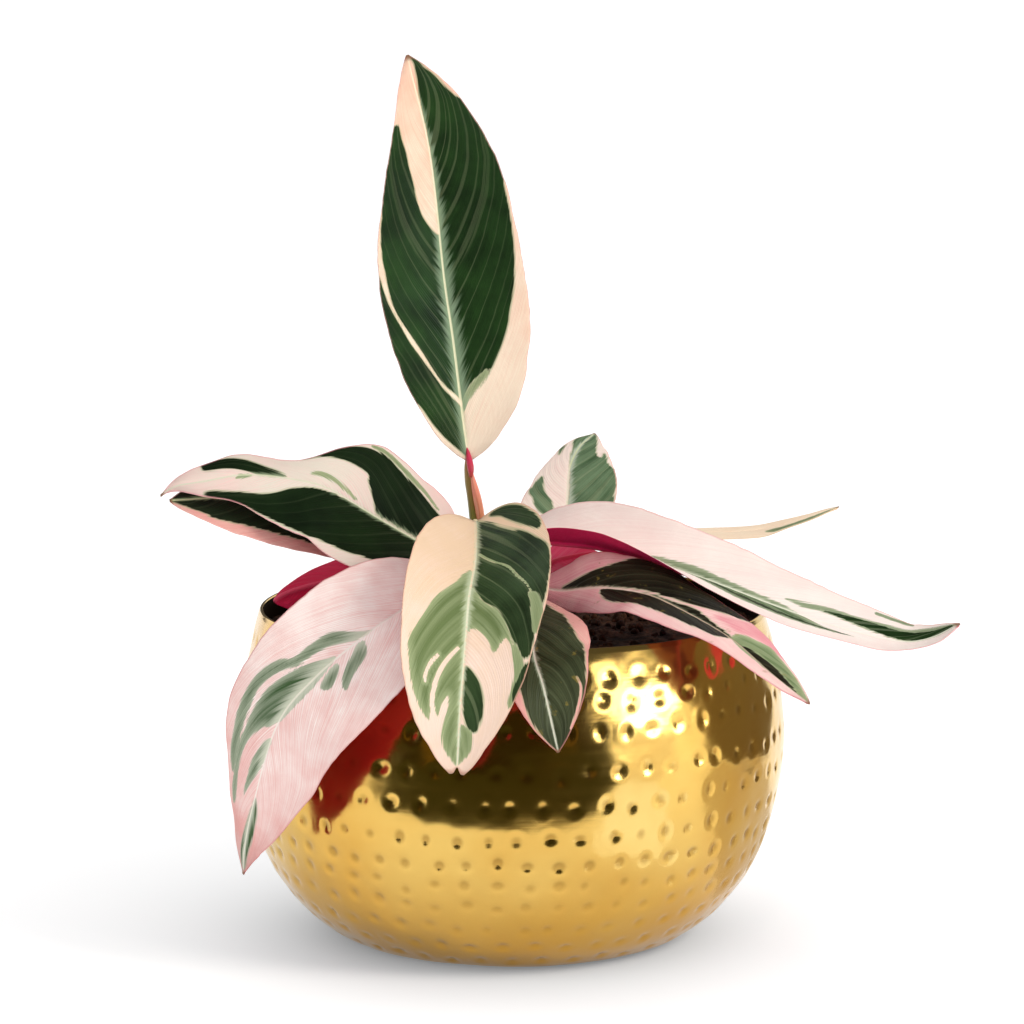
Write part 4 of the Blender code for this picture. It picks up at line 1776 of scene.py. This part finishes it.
LEAVES = [
    Leaf("upright",
        route=[(-16, 2, 176), (-19, 5, 198), (-22, 7, 222), (-25, 7, 243), (-30, 2, 289), (-38, -6, 325)],
        face=[(.39, -.92, 0), (.3, -.95, 0), (.38, -.92, 0)],
        left=(31, 31, 27), right=(33, 30, 32), outline=(.64, .82), fold=(22, 18), curl=7,
        foot=(-.55, .2, .81), via=[(-13, 2, 145)], ground=DEEP, flush=(.0, .25, .6, .9),
        marks=[
            Patch(CREAM, [(.55, -.02), (.6, -.24), (.645, -.33), (.69, -.4), (.735, -.49), (.775, -.57),
                (.81, -.69), (.85, -.85), (.87, -1.15), (1.03, -1.15), (1.03, .6), (.985, .5), (.955, .25),
                (.91, .1), (.87, .04), (.8, .02), (.7, .01), (.6, 0)]),
            Patch(CREAM, [(.13, 0), (.175, -.3), (.235, -.51), (.3, -.7), (.36, -.81), (.41, -.88),
                (.455, -.94), (.49, -1), (.5, -1.15), (.66, -1.15), (.65, -1), (.6, -.97), (.53, -.93),
                (.46, -.86), (.41, -.82), (.36, -.75), (.29, -.57), (.225, -.41), (.18, -.23), (.15, 0)]),
            Patch(CREAM, [(-.03, 0), (.06, 0), (.11, .01), (.135, .06), (.16, .22), (.19, .4), (.22, .5),
                (.26, .6), (.31, .7), (.345, .75), (.4, .83), (.46, .88), (.51, .91), (.6, .95), (.67, 1),
                (.67, 1.2), (-.03, 1.2)]),
            Patch(CREAM, [(-.03, 0), (0, -.05), (.02, -.45), (.05, -.74), (.09, -.88), (.15, -.98),
                (.15, -1.2), (-.03, -1.2)]),
            Patch(MILKY, [(.12, .04), (.15, .16), (.175, .3), (.2, .45), (.216, .43), (.197, .27),
                (.172, .13), (.145, .03)]),
            Patch(PINK, [(.965, .85), (.94, .9), (.9, .88), (.87, .98), (.87, 1.2), (.98, 1.2)])],
        upper=LeafFinish(cream="#FAE8D0", blush="#F0BEA4", deep="#10260B", deep_light="#2E5720",
            feather="#92A98A", rib="#E6E4C0", ragged=.9, rim_width=.1, vein_light=.13, feather_reach=4.0,
            streaks=.3),
        under=UndersideFinish(wine="#8E1038", wine_light="#B01C46", pink="#C84E70", rib="#D8849A")),
    Leaf("left_upper",
        route=[(-20, -15, 140), (-35, -22, 150), (-49, -26, 159), (-66, -31, 170), (-79, -34, 174),
               (-96, -37, 176), (-111, -40, 174), (-126, -42, 172)],
        face=[(.05, -.67, .74), (.1, -.74, .66), (.05, -.89, .44)],
        left=(23, 28, 15), right=(33, 25, 26, 9.5, 18, 26), outline=(.5, 1.0), fold=(20, -6), curl=-10,
        foot=(-.5, -.46, .73), flush=(.8, .3, .2, .8), beak=3.0,
        marks=[
            Patch(DEEP, [(-.02, 0), (.2, 0), (.36, -.01), (.45, -.04), (.5, -.07), (.55, -.12), (.6, -.21),
                (.65, -.38), (.7, -.5), (.75, -.55), (.8, -.6), (.86, -.65), (.86, -.95), (.7, -.95),
                (.55, -.95), (.5, -.9), (.45, -.85), (.4, -.82), (.35, -.79), (.3, -.76), (.15, -.78),
                (-.02, -.8)]),
            Patch(DEEP, [(.58, 1.15), (.57, 1), (.53, .93), (.5, .8), (.46, .66), (.42, .56), (.385, .5),
                (.375, .4), (.345, .24), (.325, .12), (.3, .04), (.2, .04), (0, .04), (0, .5), (.1, .62),
                (.15, .68), (.2, .75), (.25, .8), (.3, .84), (.35, .88), (.4, .91), (.45, .95), (.49, 1),
                (.5, 1.15)]),
            Stripe(MILKY, [(.4, .96), (.3, .9), (.2, .82), (.12, .7)], (1.6, 2.0, 1.6, 1.0)),
            Patch(MILKY, [(.545, .3), (.53, .4), (.5, .36), (.46, .24), (.42, .13), (.385, .07), (.4, .05),
                (.44, .1), (.48, .18), (.515, .24)]),
            Patch(DEEP, [(.62, .1), (.645, .3), (.685, .45), (.74, .7), (.8, .95), (.86, 1.05), (.86, .6),
                (.8, .42), (.735, .16), (.69, .02), (.655, .01)]),
            Patch(MILKY, [(.72, 0), (.74, -.1), (.77, -.12), (.76, .02)])],
        upper=LeafFinish(cream="#DCD6C6", blush="#EDC8C2", rim="#E59AA0", deep="#0D1B09",
            deep_light="#1C3413", feather="#8FA07E", rib="#C9CDA8", feather_reach=2.0, vein_light=.03,
            streaks=.4)),
    Leaf("left_under",
        route=[(-44, -18, 146), (-62, -24, 156), (-80, -28, 163), (-102, -33, 167), (-123, -40, 167)],
        face=[(0, -.73, .68)], left=(22, 19, 21), right=(16, 14, 12), outline=(.78, .78),
        fold=(10, 7), curl=-9, foot=(-.84, -.04, .54), ground=DEEP, flush=(.9, .7),
        marks=[
            Patch(CREAM, [(.1, -.7), (.3, -.74), (.5, -.72), (.68, -.7), (.82, -.74), (.9, -.6), (1.03, -.4),
                (1.03, -1.3), (.1, -1.3)])],
        upper=LeafFinish(cream="#EFC6B6", blush="#E29A93", deep="#141C10", deep_light="#26331C",
            vein_light=.03)),
    Leaf("left_low",
        route=[(-41, -6, 131), (-58, -6, 133), (-71, -6, 131), (-82, -7, 128), (-88, -8, 125)],
        face=[(.12, .74, -.66)], left=(19, 12, 6), right=(13, 14, 13), outline=(.84, .7),
        fold=(10, 20), curl=3, foot=(-.78, .34, .52), ground=DEEP, flush=(.6, .6),
        marks=[Patch(CREAM, [(.2, .62), (.5, .7), (.8, .6), (1.02, .3), (1.02, 1.2), (.2, 1.2)])],
        # Underside lighter than the default: painted light where it lies in shade.
        under=UndersideFinish(wine="#B40A3A", wine_light="#D2134A", pink="#CE1A4E")),
    Leaf("front_left",
        route=[(-21, -46, 138), (-31, -59, 136), (-41, -70, 131), (-50, -78, 126), (-69, -86, 111),
               (-82, -88, 95), (-91, -80, 66), (-95, -72, 48), (-96, -66, 36)],
        face=[(0, -.55, .84), (-.2, -.7, .68), (-.57, -.74, .36)],
        left=(22, 34, 34), right=(27, 28, 33), outline=(.48, .95), fold=(16, -12), curl=5,
        foot=(-.42, -.7, .58), flush=(.4, .25, .5, 1.0),
        marks=[
            Patch(MILKY, [(.28, 0), (.3, .06), (.35, .33), (.4, .4), (.45, .44), (.475, .58), (.515, .7),
                (.55, .75), (.59, .77), (.62, .79), (.66, .82), (.71, .88), (.76, .86), (.75, .75),
                (.68, .66), (.62, .6), (.58, .57), (.56, .58), (.525, .53), (.48, .4), (.45, .3), (.39, .22),
                (.345, .08), (.31, 0)]),
            Patch(MILKY, [(.385, .02), (.4, .08), (.43, .18), (.465, .28), (.505, .38), (.545, .46),
                (.6, .52), (.66, .6), (.7, .7), (.75, .75), (.8, .85), (.84, .85), (.82, .7), (.74, .62),
                (.68, .5), (.64, .36), (.61, .2), (.6, .1), (.57, -.03), (.52, -.08), (.46, -.08),
                (.42, -.04)]),
            Patch(MILKY, [(.315, -.05), (.325, -.2), (.345, -.28), (.37, -.32), (.4, -.38), (.425, -.44),
                (.42, -.32), (.39, -.2), (.36, -.12), (.335, -.05)]),
            Patch(MILKY, [(.395, -.06), (.4, -.15), (.425, -.24), (.45, -.25), (.46, -.16), (.43, -.08)]),
            Patch(MILKY, [(.625, 0), (.64, .12), (.69, .26), (.73, .33), (.8, .4), (.76, .22), (.71, .05),
                (.66, -.01)]),
            Patch(DEEP, [(.78, -.02), (.82, -.2), (.88, -.28), (.94, -.3), (.98, -.3), (.975, .35),
                (.93, .3), (.87, .12), (.82, .02)])],
        upper=LeafFinish(cream="#FBEFE9", blush="#E5A8A2", rim="#DE8F8C", milky="#3F5A36",
            milky_light="#A5AE97", deep="#24401C", deep_light="#4C6E3C", feather="#CFD2BE", rib="#E6E0D0",
            feather_reach=5.0, ragged=1.0),
        # Underside much lighter than the default: painted light where it lies in shade and where the brass
        # mirrors it.
        under=UndersideFinish(wine="#E01A44", wine_light="#F83258", pink="#F43A60")),
    Leaf("front",
        route=[(-13, -38, 159), (-13, -62, 149), (-15, -84, 139), (-16, -98, 127), (-17, -107, 115),
               (-18, -111, 102), (-19, -111, 82)],
        face=[(-.1, -.51, .85), (0, -.84, .54), (-.27, -.96, .11)],
        left=(30, 32, 34), right=(23, 26, 37), outline=(.45, .81), fold=(23, -4), curl=30,
        foot=(-.14, -.5, .85), flush=(.0, .1, .8, .9), blunt=2.2, tuck=2.4,
        marks=[
            Patch(MILKY, [(.3, .02), (.31, .12), (.39, .27), (.46, .48), (.52, .62), (.575, .76), (.62, .87),
                (.67, .88), (.72, .87), (.775, .85), (.81, .8), (.845, .68), (.82, .6), (.83, .45),
                (.8, .38), (.78, .3), (.77, .22), (.82, .27), (.87, .42), (.9, .5), (.94, .5), (.98, .2),
                (.98, 0), (.9, 0), (.7, 0), (.5, 0)]),
            Stripe(CREAM, [(.62, .1), (.675, .3), (.73, .44), (.785, .53), (.83, .55)], (1.3, 1.6, 1.6)),
            Stripe(CREAM, [(.65, .4), (.68, .52), (.71, .6), (.735, .62)], (1.2, 1.5, 1.1)),
            Patch(DEEP, [(.02, -.55), (.06, -.6), (.1, -.62), (.15, -.7), (.19, -.8), (.22, -.9),
                (.215, -.96), (.18, -.97), (.12, -.95), (.06, -.93), (.02, -.85)]),
            Patch(DEEP, [(0, -.05), (.02, -.2), (.05, -.33), (.1, -.43), (.15, -.56), (.2, -.72),
                (.25, -.84), (.3, -.95), (.36, -.98), (.48, -.97), (.55, -.94), (.6, -.93), (.66, -.97),
                (.665, -.85), (.63, -.72), (.6, -.6), (.565, -.53), (.53, -.45), (.485, -.33), (.45, -.17),
                (.4, -.03), (.2, 0)]),
            Patch(MILKY, [(.46, -.72), (.47, -.84), (.51, -.93), (.55, -.99), (.6, -1), (.6, -.9),
                (.55, -.82), (.5, -.77)]),
            Patch(MILKY, [(.38, -.01), (.45, -.17), (.485, -.33), (.53, -.45), (.6, -.6), (.63, -.72),
                (.67, -.86), (.72, -.98), (.79, -1), (.78, -.88), (.72, -.82), (.67, -.72), (.62, -.62),
                (.6, -.5), (.64, -.4), (.6, -.3), (.57, -.2), (.55, -.08), (.55, 0)]),
            Stripe(MILKY, [(.2, -.05), (.25, -.2), (.31, -.42), (.37, -.55), (.42, -.68), (.46, -.76)],
                (1.3, 1.1, 1.3, .8)),
            Patch(DEEP, [(.69, -.93), (.72, -.89), (.76, -.91), (.79, -1.1), (.69, -1.1)]),
            Patch(DEEP, [(.68, -.03), (.71, -.2), (.75, -.33), (.79, -.43), (.83, -.47), (.865, -.45),
                (.86, -.2), (.82, -.08), (.75, -.03)]),
            Patch(MILKY, [(.86, 0), (.865, -.3), (.9, -.45), (.94, -.5), (.98, -.1), (.98, 0)])],
        upper=LeafFinish(cream="#EECFAE", blush="#F7DCCB", milky="#6A7B4C", milky_light="#A0AC80",
            deep="#18290F", deep_light="#435B35", feather="#C6CFAF", rib="#E3E3C8", rim="#E9B49A",
            dry_tip="#D8A890", feather_reach=2.2, streaks=.7)),
    Leaf("front_right",
        route=[(4, -46, 135), (5, -66, 131), (7, -86, 127), (8, -98, 120), (11, -105, 111),
               (16, -108, 89)],
        face=[(.11, -.52, .85), (.12, -.83, .54), (.07, -.98, .19)],
        left=(18, 20, 19), right=(18, 17, 15), outline=(.9, .88), fold=(8, 10), curl=-4,
        foot=(.14, -.84, .52), ground=DEEP, flush=(.7, .9),
        marks=[
            Patch(CREAM, [(.1, -.7), (.2, -.7), (.3, -.75), (.4, -.7), (.5, -.76), (.55, -.86), (.6, -.88),
                (.65, -.93), (.75, -.97), (.75, -1.2), (.1, -1.2)]),
            Stripe(CREAM, [(.735, -.75), (.77, -.86), (.81, -.9), (.86, -.9), (.92, -.93)], (.9, 1.1)),
            Patch(CREAM, [(.65, .85), (.7, .7), (.75, .66), (.8, .74), (.9, .86), (1, .8), (1.02, 1.2),
                (.6, 1.2)])],
        upper=LeafFinish(cream="#EFC8B8", blush="#E4A29A", rim="#D98E88", deep="#262C18",
            deep_light="#50583A", feather="#9CA58C", rib="#D2D0BE", feather_reach=1.8, vein_light=.06,
            spot_share=.5)),
    Leaf("back",
        route=[(20, 30, 144), (21, 44, 155), (22, 58, 165), (26, 70, 172), (32, 79, 176)],
        face=[(.06, -.8, .6), (-.2, -.73, .66), (-.38, -.65, .66)],
        left=(25, 14, 11), right=(20, 19, 19), outline=(.5, .75), fold=(14, -3), curl=-12,
        foot=(.26, .7, .66), flush=(.3, .2),
        marks=[
            Patch(DEEP, [(.2, .03), (.25, .3), (.25, .9), (.3, .95), (.4, .97), (.5, 1), (.55, 1), (.6, .9),
                (.66, .85), (.72, .9), (.76, .85), (.7, .75), (.72, .62), (.8, .6), (.88, .65), (.95, .6),
                (1, .5), (1, -.5), (.93, -.9), (.9, -.95), (.86, -.7), (.8, -.3), (.72, -.15), (.65, -.05),
                (.55, .03), (.4, .05)]),
            Patch(DEEP, [(.52, -.78), (.43, -.92), (.37, -.9), (.29, -.74), (.15, -.6), (.15, -.3),
                (.26, -.34), (.32, -.45), (.42, -.62)]),
            Patch(DEEP, [(.8, -1.05), (.82, -.9), (.76, -.75), (.72, -.7), (.75, -.85)])],
        upper=LeafFinish(cream="#EFE4D6", blush="#EBCFC6", deep="#2C4A28", deep_light="#7A9470",
            feather="#C4CFBA", feather_reach=3.0, streaks=1.3)),
    Leaf("right_long",
        route=[(4, -9, 148), (13, -13, 148), (31, -19, 147), (44, -24, 144), (68, -33, 138),
               (97, -40, 128), (116, -43, 122), (138, -46, 117), (150, -46, 118), (161, -45, 123)],
        face=[(.01, -.26, .97), (.02, -.44, .9), (.01, -.37, .93)],
        left=(22, 17, 26), right=(20, 20, 23), outline=(.45, .77), fold=(42, 43, 22, 13, 7), curl=7,
        foot=(-.02, .1, .99), flush=(.5, .4, .35, .15),
        marks=[
            Patch(MILKY, [(.29, -.13), (.35, -.18), (.4, -.2), (.45, -.17), (.5, -.14), (.55, -.12),
                (.6, -.1), (.64, 0), (.7, .3), (.76, .42), (.7, .5), (.6, .52), (.5, .5), (.42, .3),
                (.35, 0)]),
            Stripe(DEEP, [(.38, .04), (.5, .25), (.6, .35), (.7, .4), (.78, .43)], (.5, 2.6, 2.4, .5)),
            Patch(MILKY, [(.6, -.28), (.65, -.38), (.7, -.48), (.76, -.5), (.82, -.58), (.88, -.62),
                (.94, -.7), (.99, -.6), (.99, .1), (.94, .1), (.88, 0), (.82, -.12), (.76, -.2), (.7, -.28),
                (.64, -.22)]),
            Stripe(DEEP, [(.68, -.34), (.78, -.35), (.84, -.3), (.9, -.25), (.98, -.2)],
                (.4, 3.4, 4.0, 1.6)),
            Stripe(MILKY, [(.8, -.85), (.85, -.88), (.9, -.9)], (1.5, 1.5))],
        upper=LeafFinish(cream="#FAF0E8", blush="#F3D8D3", rim="#EDB5B0", milky="#49643C",
            milky_light="#A3AD8E", feather="#D5D8C2", rib="#DFE0CC", feather_reach=1.2),
        # Underside much lighter than the default: painted light on its shaded fold by the base.
        under=UndersideFinish(wine="#F4145C", wine_light="#FF2E76", pink="#FA3476")),
    Leaf("right_low",
        route=[(9, -23, 133), (18, -32, 133), (32, -44, 136), (46, -55, 136), (57, -64, 133),
               (76, -77, 124), (90, -85, 113), (104, -88, 102)],
        face=[(-.1, -.89, .45), (.45, -.54, .71), (.5, -.26, .82)],
        left=(30, 20, 18, 19.5, 24), right=(12, 17, 12), outline=(.68, .7), fold=(13, 21), curl=-30,
        foot=(.42, -.6, .68), flush=(.9, .45, .15),
        marks=[
            # The far half's full green reaches out to its margin: partly its own colour, partly painted
            # shade under right_long.
            Patch(DEEP, [(.1, -.05), (.2, -.42), (.25, -.65), (.3, -1), (.3, -1.2), (.7, -1.2), (.7, -1),
                (.66, -.7), (.6, -.45), (.55, -.28), (.48, -.14), (.4, -.09), (.35, -.07), (.3, -.05),
                (.2, -.04)]),
            Patch(PINK, [(.61, -.3), (.66, -.6), (.7, -1), (.72, -1.2), (.9, -1.2), (.84, -.8), (.76, -.5),
                (.7, -.25)]),
            Patch(DEEP, [(.27, .03), (.35, .02), (.42, -.03), (.5, -.08), (.56, -.18), (.6, -.15),
                (.65, -.08), (.71, 0), (.69, .55), (.63, .62), (.57, .6), (.5, .62), (.45, .65), (.4, .64),
                (.34, .6), (.29, .45), (.26, .2)]),
            Patch(MILKY, [(.71, 0), (.72, -.3), (.76, -.5), (.8, -.75), (.86, -.8), (.92, -.8), (.99, -.5),
                (.99, .3), (.9, .2), (.82, .25), (.76, .3)]),
            Patch(DEEP, [(.75, -.02), (.79, -.17), (.85, -.26), (.92, -.2), (.95, -.05), (.9, 0),
                (.82, .02)])],
        # Green near black and blush deeper than on the other leaves: partly its own colour, partly painted
        # shade from right_long above it.
        upper=LeafFinish(cream="#F5D9D0", blush="#E2959C", rim="#DC7A82", deep="#15120A",
            deep_light="#363220", feather="#7C8068", rib="#C9AE98", feather_reach=1.2, streaks=.6,
            vein_light=.05, spot_share=.5),
        under=UndersideFinish(wine="#6E2430", wine_light="#8A3038", pink="#B0604E")),
    Leaf("right_back",
        route=[(29, 14, 137), (48, 24, 141), (67, 32, 144), (85, 36, 144), (101, 38, 146),
               (124, 40, 153)],
        face=[(0, .04, 1)], left=(20, 19, 20), right=(20, 20, 20), outline=(.75, .8),
        fold=(2, 5), curl=-9, foot=(.76, .36, .54), flush=(.3, .1),
        marks=[Patch(MILKY, [(.7, .5), (.8, .45), (.9, .4), (.98, .3), (.98, .8), (.85, .9),
                             (.72, .85)])],
        upper=LeafFinish(cream="#FBE6CA", blush="#F2CDB0", rim="#DDBE8E"),
        # Underside pale peach, lighter than the default: painted light on this shaded, edge-on leaf.
        under=UndersideFinish(pink="#F0CBA4", wine="#E2AE8C", wine_light="#E9BC9A", rib="#E8C49A")),
    Leaf("inner",
        route=[(10, 2, 133), (15, -1, 138), (23, -5, 141), (32, -8, 143)],
        face=[(0, .5, -.87)], left=(9, 9, 7), right=(13, 14, 11), outline=(.7, 1.1), fold=(8, 1),
        curl=-8, foot=(.68, .1, .72), flush=(.6, .6),
        marks=[Patch(DEEP, [(.2, -.1), (.45, -.3), (.7, -.5), (.6, -1.1), (.2, -1.1)])]),
]

# Stalks that are lit enough to show their own colours: olive low down, paler by the blade.
STALK_FINISHES = {"upright": StalkFinish("#7E7C2C", "#A57C48", "#5A4620", (34.0, 56.0)),
                  "front": StalkFinish("#8E8A4A", "#D9C9A0", "#B7A878", (8.0, 26.0))}
SHEATH_FINISH = StalkFinish("#CC8450", "#EA8A70", "#F6C4A8", (8.0, 26.0), 0.5)
SHOOT_FINISH = StalkFinish("#B04A34", "#C6244C", "#DC5C6C", (0.0, 6.0), 0.4)
BARK_FINISH = EarthFinish("#2A1A10", "#6A4A2C", 2.381, 0.85)
INNER_SHADE_FINISH = BrassFinish("#3A2A16", "#231A10", roughness=0.5)   # dark and dull inside: the dark colour is painted shade of the bowl's inner wall

# Panels that the brass mirrors, as seen from the plant. Angles in degrees, sizes in metres.
CARDS = [
    Card("key", 58, 34, 2.5, 0.9, 0.9, "#FFF8F0", 10.4, lights=True, mirrored=False),
    Card("window", 62, 6.7, 2.5, 1.4, 0.42, "#F4F6FF", 11.0),
    Card("window_left", 44, 11.5, 2.4, 0.7, 0.34, "#F4F6FF", 5.0),
    # A dim red panel that only the brass shows: a painted reflection of a leaf's red underside.
    Card("leaf_reflection_panel", 49, 16.5, 2.3, 0.2, 0.3, "#6A1C0E", 0.4),
    Card("front_dark", -3, 11, 2.6, 5.0, 1.3, "#7E6C3C", 0.15),
    Card("front_strip_left", -33, 9, 2.45, 0.18, 1.1, "#B09048", 0.4),
    Card("front_strip_right", 21, 9, 2.45, 0.3, 1.1, "#A88A44", 0.34),
    Card("right_dark", 108, 14, 2.6, 2.8, 1.8, "#AC9A78", 0.5),
    Card("back_right_strip", 154, 18, 2.6, 1.2, 2.4, "#FFFFFF", 1.0),
    Card("back_left_strip", -136, 18, 2.6, 1.0, 2.4, "#EEF2FF", 1.5),
    Card("left_grey", -92, 18, 2.6, 2.4, 2.0, "#A89C86", 0.4),
    Card("front_floor", colour="#86844C", strength=0.2,
         corners=((-0.11, -0.205), (-0.30, -0.25), (-1.9, -1.3), (-12, -9), (-12, -14), (14, -14),
                  (2.3, -2.2), (0.31, -0.33), (0.12, -0.21))),
    Card("glare_near", colour="#E4EAFF", strength=1.8,
         corners=((0.075, -0.155), (0.13, -0.195), (0.29, -0.30), (0.36, -0.25), (0.17, -0.12),
                  (0.11, -0.085))),
    Card("glare_far", colour="#F4F0F0", strength=1.3,
         corners=((0.29, -0.30), (2.2, -1.9), (3.0, -0.9), (0.36, -0.25))),
    Card("right_floor_near", colour="#F4EADA", strength=0.88,
         corners=((0.09, -0.02), (0.30, -0.10), (0.50, -0.06), (0.38, 0.10), (0.28, 0.16), (0.12, 0.11))),
    Card("right_floor", colour="#AC9A78", strength=0.5,
         corners=((0.60, -0.06), (1.2, -0.16), (9, -1.2), (9, 9.5), (0.62, 0.66), (0.36, 0.30), (0.30, 0.18),
                  (0.42, 0.07))),
]


def main() -> None:
    """Build and report every piece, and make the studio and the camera."""
    logging.basicConfig(level=logging.INFO)
    profile = BowlProfile(BOWL_OUTLINE, BOWL_WALL)
    makers = [maker for leaf in LEAVES
              for maker in (Blade(leaf), Stalk(leaf, STALK_FINISHES.get(leaf.name, StalkFinish())))]
    makers += [Sheath(LEAVES[0], SHEATH_FINISH), Shoot(LEAVES[0], SHOOT_FINISH),
               Crown(LEAVES, BARK_FINISH), Soil(profile, EarthFinish()),
               HammeredBowl(profile, BrassFinish(), INNER_SHADE_FINISH)]
    for maker in makers:
        piece = maker.build()
        LOG.info("%s: %d faces", piece.name, len(piece.data.polygons))
    Studio(CARDS).build()


if __name__ == "__main__":
    main()
